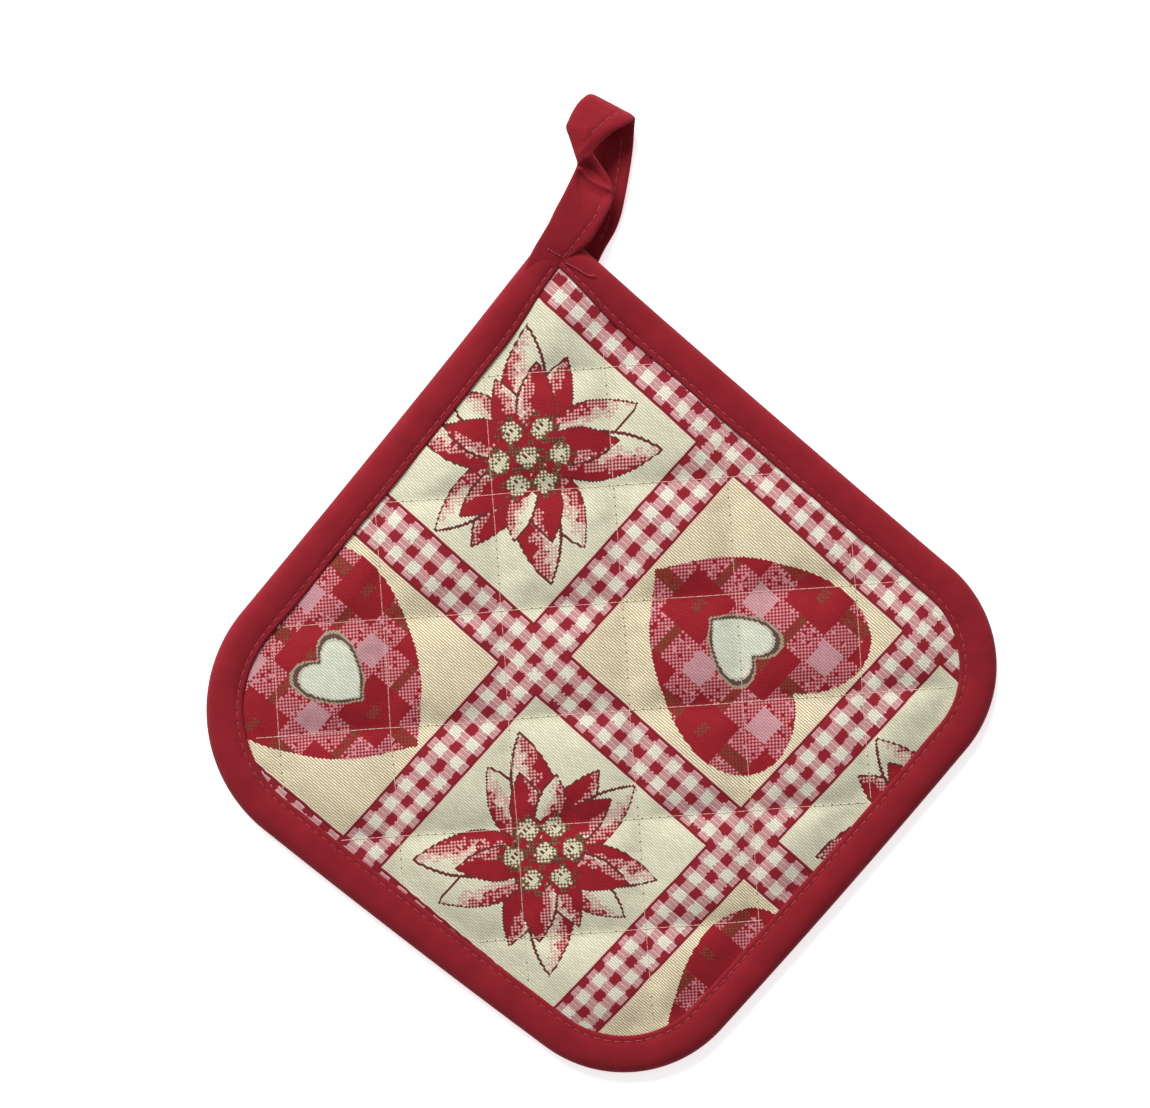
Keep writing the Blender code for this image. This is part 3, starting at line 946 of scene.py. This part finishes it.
# Plain-woven cotton: two like sets of dull yarns, which gives the eye a fine even grain without gloss
cotton = bpy.data.materials.new("plain_woven_cotton")
add = nodes_of(cotton)
strip = add("ShaderNodeUVMap", uv_map="strip")
fine = add(VECTOR, {"Vector": strip, "Scale": 10 / COTTON_THREAD}, operation="SCALE")
fine_corner = add(VECTOR, fine, (1.0, 1.0, 1.0), operation="SNAP")
parity = add(VECTOR, fine_corner, (1.0, 1.0, 0.0), operation="DOT_PRODUCT", out=1)
parity = add("FLOORED_MODULO", parity, 2.0)
fine_x = add(SPLIT, add(VECTOR, fine, operation="FRACTION"))
along_wave, across_wave = (
    add("SINE", add("MULTIPLY", part, math.pi)) for part in (fine_x, fine_x.node.outputs[1]))
over_under = add(MIX, {0: parity, 2: along_wave, 3: across_wave})
blotch = add(NOISE, {"Vector": strip, "Scale": BLOTCH_SCALE, "Detail": 3.0})
blotch = add(RANGE, blotch, *BLOTCH_RANGE, 0.0, 1.0)
dyed = add(MIX, {0: blotch, 6: RED_COTTON_DARK, 7: RED_COTTON}, **COLOURS)
# Painted shade between the threads and a faint painted highlight on their tops
painted_weave_shade = add(RANGE, over_under, 0.0, 1.0, *COTTON_PAINTED_SHADE)
add(SHADER, {
    "Base Color": add(VECTOR, {"Vector": dyed, "Scale": painted_weave_shade}, operation="SCALE"),
    "Roughness": 0.85, "Specular IOR Level": 0.12, "Sheen Weight": 0.04,
    "Normal": add("ShaderNodeBump", {
        0: COTTON_BUMP_STRENGTH, 1: COTTON_BUMP_DISTANCE, "Height": over_under,
    }),
})
print("red cotton:", len(cotton.node_tree.nodes), "nodes")


# %% Give a mesh the map that the red cotton reads: centimetres along and across
def strip_map(piece, along, across):
    layer = piece.data.uv_layers.new(name="strip")
    corners = np.empty(len(piece.data.loops), int)
    piece.data.loops.foreach_get("vertex_index", corners)
    layer.data.foreach_set("uv", np.stack([along[corners], across[corners]], axis=1).ravel() / 10)


pad.data.materials.append(cotton)
pad.data.materials.append(weave)
places = coordinates(pad)
strip_map(pad, places[:, 0], places[:, 1])

# %% [markdown]
# ## The binding
# A strip is folded over the rim and sewn through all layers 2 mm from its inner edge. A curve with a
# bevel object could sweep a section round the rim, but not narrow it at one corner or pull it down at
# each needle hole. So code sweeps it, and one section gives the whole: a rounded fold, a soft crown, a
# dip under the stitching and a turned-in edge that presses on the face.

# %% Section of the binding, from the inner edge over the fold to the inner edge below
#    inset   height
BINDING_SECTION = (
    (11.2, 4.56),
    (11.6, 4.66),
    (11.8, 4.90),
    (11.5, 5.20),
    (11.0, 5.40),
    (10.5, 5.40),
    (9.9, 5.30),
    (9.3, 5.50),
    (8.4, 5.72),
    (7.0, 5.86),
    (5.2, 5.90),
    (3.6, 5.78),
    (2.3, 5.46),
    (1.2, 4.90),
    (0.45, 4.10),
    (0.1, 3.30),
    (0.0, 2.60),
    (0.15, 1.80),
    (0.6, 1.00),
    (1.5, 0.42),
    (2.8, 0.12),
    (4.6, 0.02),
    (7.0, 0.02),
    (8.6, 0.12),
    (9.3, 0.28),
    (9.9, 0.42),
    (10.5, 0.28),
    (11.3, 0.12),
    (11.9, 0.30),
    (12.1, 0.60),
    (11.7, 0.90),
    (9.0, 1.15),
    (4.0, 1.20),
    (1.8, 1.80),
    (1.5, 2.85),
    (1.8, 3.90),
    (4.0, 4.45),
    (9.0, 4.55),
)
STITCH_INSET = 9.9
EDGE_PITCH = 3.3
STRIP_SPACING = 1.1
FOLD_LEVEL = 2.6
UPPER_SIDE = 4.6
#            depth  wave length
EDGE_WANDER = (0.35, 23.0)
GATHERS = (0.12, 5.0)
UNEVEN_CROWN = (0.18, 34.0)
NEEDLE_PULL = 0.16


def travelled(points):
    """Distance from the start to each point of a row."""
    steps = np.linalg.norm(np.diff(points, axis=0), axis=1)
    return np.concatenate([[0.0], np.cumsum(steps)])


def grid_faces(rows, columns, closed):
    """Faces between rows of points. Each row closes on itself, and the last meets the first if closed."""
    faces = []
    for i in range(rows if closed else rows - 1):
        a, b = i * columns, ((i + 1) % rows) * columns
        for k in range(columns):
            after = (k + 1) % columns
            faces.append((a + k, b + k, b + after, a + after))
    return faces


def build_binding():
    ring = ring_maker(STRIP_SPACING)
    rim_travel = travelled(ring(0.0))
    still = rim_travel * 0
    at_needle = np.cos(math.pi * rim_travel / EDGE_PITCH) ** 2
    wander = EDGE_WANDER[0] * ripple(rim_travel, still, EDGE_WANDER[1], 2.0)
    crown = UNEVEN_CROWN[0] * ripple(rim_travel, still, UNEVEN_CROWN[1], 6.0)
    rows = []
    for distance, height in BINDING_SECTION:
        flat = ring(distance)
        inward = ring(distance + 1.0) - flat
        wobble = wander * smooth((distance - 6.0) / 6.0)
        flat = flat + inward / np.linalg.norm(inward, axis=1, keepdims=True) * wobble[:, None]
        side = 1.0 if height > FOLD_LEVEL else -1.0
        seam = math.exp(-((distance - STITCH_INSET) / 1.0) ** 2)
        level = height - side * NEEDLE_PULL * seam * at_needle
        if height > UPPER_SIDE:
            gather = ripple(rim_travel, still + distance * 0.25, GATHERS[1], 4.0)
            level += GATHERS[0] * gather * smooth((distance - 1.0) / 4.0)
            level += crown * smooth((distance - 1.0) / 3.0)
        rows.append(np.column_stack([flat, level]))
    grid = np.stack(rows, axis=1)
    grid[..., 2] += corner_lift(grid[..., 0], grid[..., 1])
    count, depth, _ = grid.shape
    piece = new_piece("binding_strip", grid.reshape(-1, 3), grid_faces(count, depth, closed=True))
    strip_map(piece, np.repeat(rim_travel, depth), np.tile(travelled(BINDING_SECTION), count))
    return piece, rim_travel[-1]


binding, rim_length = build_binding()
binding.data.materials.append(cotton)
print("binding:", round(rim_length), "mm long,", len(binding.data.polygons), "faces")

# %% [markdown]
# ## The hanging loop
# The same strip, folded shut and sewn along one side, runs on from the left binding. It twists and is
# pinched halfway, turns over at its top and comes back down behind the corner. A simulation wouldn't
# find just these folds, and remeshing would erase a flat strap. So it is modelled directly: a table of
# sections gives its two edges, a smooth curve runs through them, and creases are soft ridges on top.

# %% Sections of the strap
STRAP_WIDTH = 14.5
STRAP_THICK = 1.5
STRAP_STEPS = 8
STRAP_ACROSS = 26
EDGE_SHARPNESS = 8
THINNEST_EDGE = 0.05
#    left x   left y  left z  right x right y right z  sag
STRAP_SECTIONS = (
    (-34.3, 83.3, 5.3, -30.4, 80.2, 5.3, 0.0),     # inside the left binding
    (-29.2, 89.5, 6.0, -25.3, 86.4, 6.0, 0.0),
    (-25.9, 94.4, 6.4, -22.0, 91.3, 6.3, 0.0),
    (-23.6, 99.6, 6.9, -18.2, 95.6, 6.3, 0.0),
    (-21.4, 104.0, 7.7, -13.2, 98.8, 6.5, 0.0),    # on the corner
    (-18.8, 108.4, 8.6, -7.8, 102.9, 7.8, 0.0),
    (-16.4, 112.4, 9.2, -3.6, 106.4, 8.8, 0.0),
    (-14.7, 116.0, 9.6, -0.9, 110.5, 9.3, 0.1),
    (-12.9, 119.3, 9.8, 1.4, 114.6, 9.3, 0.3),
    (-11.2, 122.5, 9.9, 3.0, 118.2, 9.1, 0.8),
    (-9.8, 125.3, 10.0, 3.5, 121.4, 8.8, 1.3),
    (-8.7, 127.5, 10.0, 3.1, 124.2, 8.5, 1.7),
    (-8.0, 129.0, 10.1, 1.9, 126.9, 8.5, 1.7),
    (-7.7, 129.8, 10.2, 0.1, 129.6, 8.9, 1.3),
    (-7.6, 130.3, 10.4, -1.5, 132.1, 9.8, 0.5),
    (-7.6, 130.8, 10.6, -2.6, 133.7, 10.5, -0.2),  # creased across, and pinched
    (-8.0, 132.2, 10.6, -2.3, 134.8, 10.5, -0.5),
    (-8.9, 135.0, 10.5, -1.0, 136.5, 10.3, -0.9),
    (-10.0, 138.4, 10.4, 0.9, 138.4, 10.2, -1.2),
    (-11.1, 141.8, 10.3, 3.0, 140.1, 10.1, -1.1),  # widest, over the hollow
    (-10.3, 144.2, 10.1, 5.1, 141.4, 9.9, -0.8),
    (-9.0, 147.0, 9.8, 7.0, 142.4, 9.6, -0.5),
    (-7.1, 149.9, 9.2, 8.7, 143.5, 9.1, -0.2),
    (-4.9, 152.0, 7.8, 10.0, 144.6, 7.8, 0.0),
    (-3.7, 152.7, 5.0, 10.5, 145.2, 5.0, 0.0),     # turned over at the top
    (-4.2, 151.6, 2.4, 10.4, 143.6, 2.4, 0.0),
    (-5.3, 149.0, 1.0, 10.2, 140.6, 1.3, 0.0),
    (-4.6, 141.0, 0.9, 9.9, 136.5, 1.7, 0.0),
    (-5.2, 132.8, 0.9, 9.3, 131.9, 2.2, 0.0),
    (-6.8, 125.9, 0.9, 8.4, 126.3, 2.4, 0.0),
    (-7.7, 120.3, 0.9, 7.2, 119.9, 2.1, 0.0),
    (-8.7, 115.9, 0.9, 6.1, 115.0, 1.7, 0.0),
    (-10.5, 111.5, 0.95, 4.3, 110.2, 1.2, 0.0),
    (-13.0, 107.2, 1.0, 1.2, 104.9, 1.0, 0.0),
    (-15.2, 103.4, 1.0, -0.8, 100.9, 1.0, 0.0),
    (-16.8, 100.3, 1.0, -2.4, 96.8, 1.0, 0.0),     # sewn end, under the corner
)
LOWER_SEAM = ((-12.5, 101.0), (-9.0, 104.9), (-5.2, 109.8), (-1.9, 114.3), (-0.3, 118.2), (0.1, 120.4))
UPPER_SEAM = ((-5.2, 137.2), (-3.4, 139.4), (-1.0, 141.8), (1.6, 144.2), (3.9, 145.9), (6.1, 147.0))
#    height  width  path
CREASES = (
    (0.75, 0.7, ((-7.3, 129.2), (-4.2, 125.6), (-0.9, 123.9), (2.4, 122.5))),
    (-0.55, 1.6, ((-7.6, 126.2), (-5.2, 122.8), (-1.9, 121.2), (1.2, 120.2))),
    (0.25, 0.8, ((-8.2, 126.6), (-8.4, 122.4), (-7.0, 118.0))),
    (-0.3, 0.9, ((-5.6, 131.2), (-2.2, 128.0), (1.2, 124.4))),
    (0.22, 0.9, ((-7.2, 133.4), (-4.4, 136.8), (-4.6, 141.0))),
    (-0.22, 0.8, LOWER_SEAM),
    (-0.22, 0.8, UPPER_SEAM),
)


def smooth_rows(table, steps):
    """More rows on the smooth curve through the rows of a table."""
    rows = np.array(table)
    padded = np.vstack([rows[:1], rows, rows[-1:]])
    finer = []
    for i in range(len(rows) - 1):
        a, b, c, d = padded[i:i + 4]
        for k in range(steps):
            t = k / steps
            finer.append(((-t + 2 * t ** 2 - t ** 3) * a + (2 - 5 * t ** 2 + 3 * t ** 3) * b
                          + (t + 4 * t ** 2 - 3 * t ** 3) * c + (-t ** 2 + t ** 3) * d) / 2)
    finer.append(rows[-1])
    return np.array(finer)


def strap_surface():
    """The middle of the strap's cloth as a grid, and its unit normals."""
    table = smooth_rows(STRAP_SECTIONS, STRAP_STEPS)
    share = np.linspace(0.0, 1.0, STRAP_ACROSS + 1)[None, :, None]
    left, right, sag = table[:, None, 0:3], table[:, None, 3:6], table[:, None, 6:7]
    grid = left + (right - left) * share
    grid[..., 2:] -= sag * 4 * share * (1 - share)
    normal = np.cross(np.gradient(grid, axis=1), np.gradient(grid, axis=0))
    return grid, normal / np.linalg.norm(normal, axis=2, keepdims=True)


def build_strap():
    grid, normal = strap_surface()
    share = np.linspace(-1.0, 1.0, STRAP_ACROSS + 1)
    half = STRAP_THICK / 2 * np.sqrt(np.maximum(1 - np.abs(share) ** EDGE_SHARPNESS, THINNEST_EDGE))
    relief = np.zeros(grid.shape[:2])
    for height, width, path in CREASES:
        away = line_distance(grid[..., 0], grid[..., 1], smooth_rows(path, 6))
        relief += height * np.exp(-(away / width) ** 2)
    relief = np.where(normal[..., 2] > 0, relief, 0.0)
    over = grid + normal * (half[None, :] + relief)[..., None]
    under = grid - normal * half[None, :, None]
    tube = np.concatenate([over, under[:, ::-1]], axis=1)
    count, depth, _ = tube.shape
    faces = [(a, d, c, b) for a, b, c, d in grid_faces(count, depth, closed=False)]
    faces.append(tuple(range(depth))[::-1])
    faces.append(tuple(range((count - 1) * depth, count * depth)))
    piece = new_piece("loop_strap", tube.reshape(-1, 3), faces)
    travel = travelled(grid[:, STRAP_ACROSS // 2])
    across = np.concatenate([share, share[::-1]]) * STRAP_WIDTH / 2
    strip_map(piece, np.repeat(travel, depth), np.tile(across, count))
    return piece, travel[-1]


strap, strap_length = build_strap()
strap.data.materials.append(cotton)
print("strap:", round(strap_length), "mm long,", len(strap.data.polygons), "faces")

# %% [markdown]
# ## Threads
# A machine stitch is a short length of thread that comes up through one needle hole and goes down the
# next. A dashed line in the material would lie flat, and the stitches of a real row catch the light. So
# one stitch is modelled, a thin arched rod whose ends dip, and copied along each row. The copies of a
# row are one mesh. A small dark flattened ball at each hole is painted shade, the shadow in the hole.

# %% One stitch, a millimetre long, with its ends dipped
STITCH_CUTS = (-0.36, -0.15, 0.15, 0.36)
STITCH_BENDS = (0.1, 0.3, 0.45)
STITCH_RAISED = 0.35
SHADE_DOT_FLATNESS = 0.45


def select_points(piece, test):
    """Selects the points of a mesh in edit mode, by a test of their place in millimetres."""
    bpy.ops.mesh.select_all(action="DESELECT")
    mesh = bmesh.from_edit_mesh(piece.data)
    for vert in mesh.verts:
        vert.select = test(vert.co / MM)
    mesh.select_flush(True)
    bmesh.update_edit_mesh(piece.data)


def faces_of(piece):
    return [tuple(face.vertices) for face in piece.data.polygons]


def take_shape(model):
    """The points and faces of a model, which is then removed."""
    shape = coordinates(model), faces_of(model)
    bpy.data.objects.remove(model)
    return shape


def model_stitch(thickness, dip):
    deselect_all()
    bpy.ops.mesh.primitive_cylinder_add(
        vertices=6, radius=thickness / 2 * MM, depth=MM, rotation=(0, math.pi / 2, 0))
    stitch = bpy.context.object
    bpy.ops.object.transform_apply(location=False, rotation=True, scale=False)
    bpy.ops.object.mode_set(mode="EDIT")
    for cut in STITCH_CUTS:
        bpy.ops.mesh.select_all(action="SELECT")
        bpy.ops.mesh.bisect(plane_co=(cut * MM, 0, 0), plane_no=(1, 0, 0))
    for beyond in STITCH_BENDS:
        select_points(stitch, lambda place: abs(place.x) > beyond)
        bpy.ops.transform.translate(value=(0, 0, -dip / len(STITCH_BENDS) * MM))
    bpy.ops.mesh.select_all(action="SELECT")
    bpy.ops.transform.translate(value=(0, 0, thickness * STITCH_RAISED * MM))
    bpy.ops.object.mode_set(mode="OBJECT")
    return take_shape(stitch)


def model_shade_dot(width):
    """A flattened ball, the painted shade of a needle hole."""
    deselect_all()
    bpy.ops.mesh.primitive_ico_sphere_add(subdivisions=1, radius=width / 2 * MM)
    bpy.ops.object.mode_set(mode="EDIT")
    bpy.ops.transform.resize(value=(1.0, 1.0, SHADE_DOT_FLATNESS))
    bpy.ops.object.mode_set(mode="OBJECT")
    return take_shape(bpy.context.object)


# %% Place copies
def copies(shape, faces, frames):
    """One vertex list and face list for a shape placed by many 4 by 4 matrices."""
    verts, all_faces = [np.empty((0, 3))], []
    for index, matrix in enumerate(frames):
        verts.append(shape @ matrix[:3, :3].T + matrix[:3, 3])
        start = index * len(shape)
        all_faces += [tuple(start + i for i in face) for face in faces]
    return np.vstack(verts), all_faces


def placing(start, end, up, stretch=True):
    """The matrix that lays a stitch from start to end, with its arch towards up."""
    along = end - start
    length = np.linalg.norm(along)
    along = along / length
    side = np.cross(up, along)
    side = side / np.linalg.norm(side)
    made = np.identity(4)
    made[:3, 0] = along * (length if stretch else 1.0)
    made[:3, 1] = side
    made[:3, 2] = np.cross(along, side)
    made[:3, 3] = (start + end) / 2
    return made


def surface_of(piece):
    """A function that drops a point onto a piece, from above or from below."""
    faces = BVHTree.FromPolygons([tuple(v) for v in coordinates(piece)], faces_of(piece))

    def drop(x, y, above=True, level=60.0):
        direction = Vector((0, 0, -1 if above else 1))
        place, normal, *_ = faces.ray_cast(Vector((x, y, level if above else -level)), direction)
        if place is None:
            return None
        return np.array(place), np.array(normal if normal.z * direction.z < 0 else -normal)

    return drop


# %% Thread materials
# Object coordinates are metres, so this is 2.6 light and dark twists a millimetre, as in sewing thread
TWISTS_PER_METRE = 2600.0
TWIST_RANGE = (0.35, 0.65)


def thread_material(name, hex_light, hex_dark, roughness):
    """Spun polyester thread: fine light and dark twists along it, and a faint sheen."""
    made = bpy.data.materials.new(name)
    add = nodes_of(made)
    spot = add("ShaderNodeTexCoord", out=3)
    twist = add(NOISE, {"Vector": spot, "Scale": TWISTS_PER_METRE, "Detail": 2.0})
    twist = add(RANGE, twist, *TWIST_RANGE, 0.0, 1.0)
    shown = add(MIX, {0: twist, 6: colour(hex_dark), 7: colour(hex_light)}, **COLOURS)
    add(SHADER, {"Base Color": shown, "Roughness": roughness, "Sheen Weight": 0.1})
    return made


quilting_thread = thread_material("pink_polyester_thread", "#deb5a8", "#c99a8d", 0.6)
pale_thread = thread_material("pale_polyester_thread", "#d6cfb0", "#bfb793", 0.6)
# The two needle-hole materials are painted shade, the dark in the holes, drawn with the thread shader
hole_thread = thread_material("needle_hole_thread", "#5a523d", "#403a2b", 0.9)
edge_thread = thread_material("red_polyester_thread", "#a32f3a", "#8b202b", 0.6)
edge_hole_shade = thread_material("red_needle_hole_painted_shade", "#5c1019", "#4c0c14", 0.9)
print("threads:", [made.name for made in bpy.data.materials if "thread" in made.name])

# %% Kinds of stitch, in millimetres, with the gap as a share of the pitch
Stitch = namedtuple("Stitch", "pitch thick dip knot gap thread hole")
#                                          pitch       thick dip   knot  gap   thread           hole
EDGE_STITCH = Stitch(EDGE_PITCH, 0.36, 0.26, 0.7, 0.14, edge_thread, edge_hole_shade)
QUILT_STITCH = Stitch(2.7, 0.22, 0.12, 0.58, 0.02, quilting_thread, hole_thread)
BACK_STITCH = Stitch(2.7, 0.3, 0.16, 0.6, 0.1, edge_thread, edge_hole_shade)
STRAP_STITCH = Stitch(3.0, 0.3, 0.2, 0.55, 0.12, edge_thread, edge_hole_shade)
END_STITCH = Stitch(2.0, 0.25, 0.1, 0.4, 0.1, edge_thread, edge_hole_shade)
BAR_STITCH = Stitch(1.25, 0.42, 0.2, 0.5, 0.1, edge_thread, edge_hole_shade)

# %% Sew a row
LONGEST_STITCH = 1.8
HIDDEN_HOLES = -0.2


def sew(name, drop, route, kind, above=True, level=60.0, is_pale=None):
    """Lays stitches of a kind along a route of points. Where is_pale is given, the stitches on pale
    cloth take the pale thread, and only needle holes there show, all but a few."""
    frames, holes, pale = [], [], []
    previous = None
    for x, y in route:
        spot = drop(x, y, above, level)
        on_pale = is_pale is not None and is_pale(x, y)
        if previous is not None and spot is not None:
            (start, up_start), (end, up_end) = previous, spot
            if np.linalg.norm(end - start) < kind.pitch * LONGEST_STITCH:
                inward = (end - start) * kind.gap
                frames.append(placing(start + inward, end - inward, (up_start + up_end) / 2))
                pale.append(on_pale)
        shows = is_pale is None or on_pale and noise.noise(Vector((x, y, 9.0))) > HIDDEN_HOLES
        if spot is not None and shows:
            side = np.array([1.0, 0.0, 0.0])
            holes.append(placing(spot[0] - side, spot[0] + side, spot[1], stretch=False))
        previous = spot
    shape, faces = model_stitch(kind.thick, kind.dip)
    verts, all_faces = copies(shape, faces, frames)
    threads_in_row = len(all_faces)
    shade_dot_verts, shade_dot_faces = copies(*model_shade_dot(kind.knot), holes)
    all_faces += [tuple(i + len(verts) for i in face) for face in shade_dot_faces]
    piece = new_piece(name, np.vstack([verts, shade_dot_verts]), all_faces)
    for material in (kind.thread, kind.hole, pale_thread):
        piece.data.materials.append(material)
    for number, face in enumerate(piece.data.polygons):
        if number >= threads_in_row:
            face.material_index = 1
        elif pale[number // len(faces)]:
            face.material_index = 2
    return piece


def stops_along(line, stops, travel):
    return np.column_stack([np.interp(stops, travel, line[:, k]) for k in range(2)])


def even_path(points, kind):
    """Points a stitch apart on a smooth open row."""
    line = smooth_rows(points, 10)
    travel = travelled(line)
    return stops_along(line, np.arange(0.0, travel[-1], kind.pitch), travel)


def even_ring(points, kind):
    """Points a stitch apart on a closed row."""
    closed = np.vstack([points, points[:1]])
    travel = travelled(closed)
    return stops_along(closed, np.linspace(0.0, travel[-1], round(travel[-1] / kind.pitch) + 1), travel)


def join_as(name, parts):
    deselect_all()
    for part in parts:
        part.select_set(True)
    bpy.context.view_layer.objects.active = parts[0]
    bpy.ops.object.join()
    parts[0].name = name
    print(name, "has", len(parts[0].data.polygons), "faces")
    return parts[0]


# %% Edge stitching on the binding, above and below
binding_drop = surface_of(binding)
seam = even_ring(ring_maker(STRIP_SPACING)(STITCH_INSET), EDGE_STITCH)
edge_stitches = sew("edge_stitches", binding_drop, seam, EDGE_STITCH)
under_stitches = sew("edge_stitches_back", binding_drop, seam, EDGE_STITCH, above=False)
print("edge stitches:", len(seam) - 1)

# %% Quilting rows on the face and on the back
FLOWER_REACH = 3.6
ROW_REACH = 160.0
ROW_ENDS = 1.6
ROW_WANDER = 0.35
ROW_WANDER_LENGTH = 30.0

pad_drop = surface_of(pad)
quilt_limit = PAD_RING(FACE_EDGE + ROW_ENDS)


def heart_holds(along, aside, heart):
    up = along / heart.length + heart.offset
    side = (aside / heart.width) ** 2
    return (up * up + side - 1) ** 3 < side * up ** 3 * (heart.lobes if up > 0 else heart.foot)


def on_pale_ground(x, y):
    """Whether the cloth is cream, beige or white there, so that a needle hole shows dark on it."""
    column, row = (float(place) for place in cloth_place(x, y))
    panel_column, panel_row = math.floor(column / REPEAT), math.floor(row / REPEAT)
    half_turn = 2 * (panel_row % 2) - 1
    along, aside = (half_turn * (place % REPEAT - REPEAT / 2) for place in (column, row))
    if panel_column % 4 == 1:
        along, aside = aside, -along
    if max(abs(along), abs(aside)) > PANEL_HALF:
        return False
    if (panel_column + panel_row) % 2:
        return heart_holds(along, aside, SMALL_HEART) or not heart_holds(along, aside, LARGE_HEART)
    return math.hypot(along, aside) > FLOWER_REACH


def quilt_routes():
    """Each row from rim to rim, cut off under the binding, wandering by a few tenths of a millimetre."""
    routes = []
    for rows, swap in ((ROWS_DOWN, False), (ROWS_ACROSS, True)):
        for number, row in enumerate(rows):
            travel = np.arange(-ROW_REACH, ROW_REACH, QUILT_STITCH.pitch)
            offset = row + ROW_WANDER * ripple(travel, travel * 0 + number, ROW_WANDER_LENGTH, 5.0)
            x, y = from_quilt(travel, offset) if swap else from_quilt(offset, travel)
            keep = depth_inside(x, y, quilt_limit) > 0.0
            routes.append(np.column_stack([x[keep], y[keep]]))
    return [route for route in routes if len(route) > 2]


face_rows, back_rows = [], []
for k, route in enumerate(quilt_routes()):
    face_rows.append(sew(f"row_{k}", pad_drop, route, QUILT_STITCH, is_pale=on_pale_ground))
    back_rows.append(sew(f"back_{k}", pad_drop, route, BACK_STITCH, above=False))
quilt_pieces = [join_as("quilting_threads", face_rows), join_as("quilting_back_threads", back_rows)]

# %% Stitching along the strap, the short bar where it leaves the binding, and the row at its sewn end
RETURN_SEAM = (
    (6.4, 139.5), (5.6, 133.0), (4.9, 128.0), (4.3, 124.0),
    (3.4, 119.5), (2.7, 115.5), (0.9, 110.0), (-1.2, 106.5),
)
RETURN_LEVEL = 5.5
BAR_PATH = ((-17.0, 104.2), (-14.6, 102.9), (-12.3, 101.5))
END_PATH = ((-14.9, 102.4), (-8.1, 101.0), (-1.6, 99.4))

strap_drop = surface_of(strap)
strap_rows = []
for name, path, kind, how in (
    ("strap_lower", LOWER_SEAM, STRAP_STITCH, {}),
    ("strap_upper", UPPER_SEAM, STRAP_STITCH, {}),
    ("strap_return", RETURN_SEAM, STRAP_STITCH, {"level": RETURN_LEVEL}),
    ("bar", BAR_PATH, BAR_STITCH, {}),
    ("end_bar", END_PATH, END_STITCH, {"above": False}),
):
    strap_rows.append(sew(name, strap_drop, even_path(path, kind), kind, **how))
strap_stitches = join_as("loop_stitches", strap_rows[:3])
bar_stitches = join_as("loop_bar_stitches", strap_rows[3:])

# %% [markdown]
# The sewing ends at the corner, and nobody trimmed the thread there. The loose end could be one more row
# of stitches, but it lies free. So it is a curve with a round bevel, laid a little above the binding,
# and turned into a mesh.

# %% Loose thread end
LOOSE_THICK = 0.3
#    x      y     above the cloth
LOOSE_END = (
    (-11.2, 99.9, 0.1),
    (-9.5, 99.0, 0.3),
    (-7.8, 98.1, 0.35),
    (-6.6, 97.3, 0.25),
    (-5.4, 96.5, 0.2),
    (-4.2, 95.9, 0.3),
    (-3.1, 95.7, 0.5),
    (-2.0, 96.1, 0.8),
)

deselect_all()
bpy.ops.curve.primitive_nurbs_path_add()
loose_thread = bpy.context.object
loose_thread.data.splines.clear()
spline = loose_thread.data.splines.new("NURBS")
spline.points.add(len(LOOSE_END) - 1)
for point, (x, y, lift) in zip(spline.points, LOOSE_END):
    place, _ = binding_drop(x, y)
    point.co = (x * MM, y * MM, (place[2] + lift + LOOSE_THICK / 2) * MM, 1.0)
spline.use_endpoint_u = True
spline.order_u = 4
loose_thread.data.bevel_depth = LOOSE_THICK / 2 * MM
loose_thread.data.bevel_resolution = 2
loose_thread.data.use_fill_caps = True
bpy.ops.object.convert(target="MESH")
loose_thread = bpy.context.object
loose_thread.name = "loose_thread"
loose_thread.data.materials.append(edge_thread)
print("loose thread:", len(loose_thread.data.polygons), "faces")

# %% [markdown]
# ## Join the pieces to the frame
# Every piece rides on the one body. The three soft pieces stand for the three solids, which are hidden.

# %% Rides and replacements
stitches = [edge_stitches, under_stitches, *quilt_pieces, strap_stitches, bar_stitches, loose_thread]
for piece in (pad, binding, strap, *stitches):
    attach(piece, "root")
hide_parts("quilted_pad")
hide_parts("edge_binding")
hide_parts("hanging_loop")
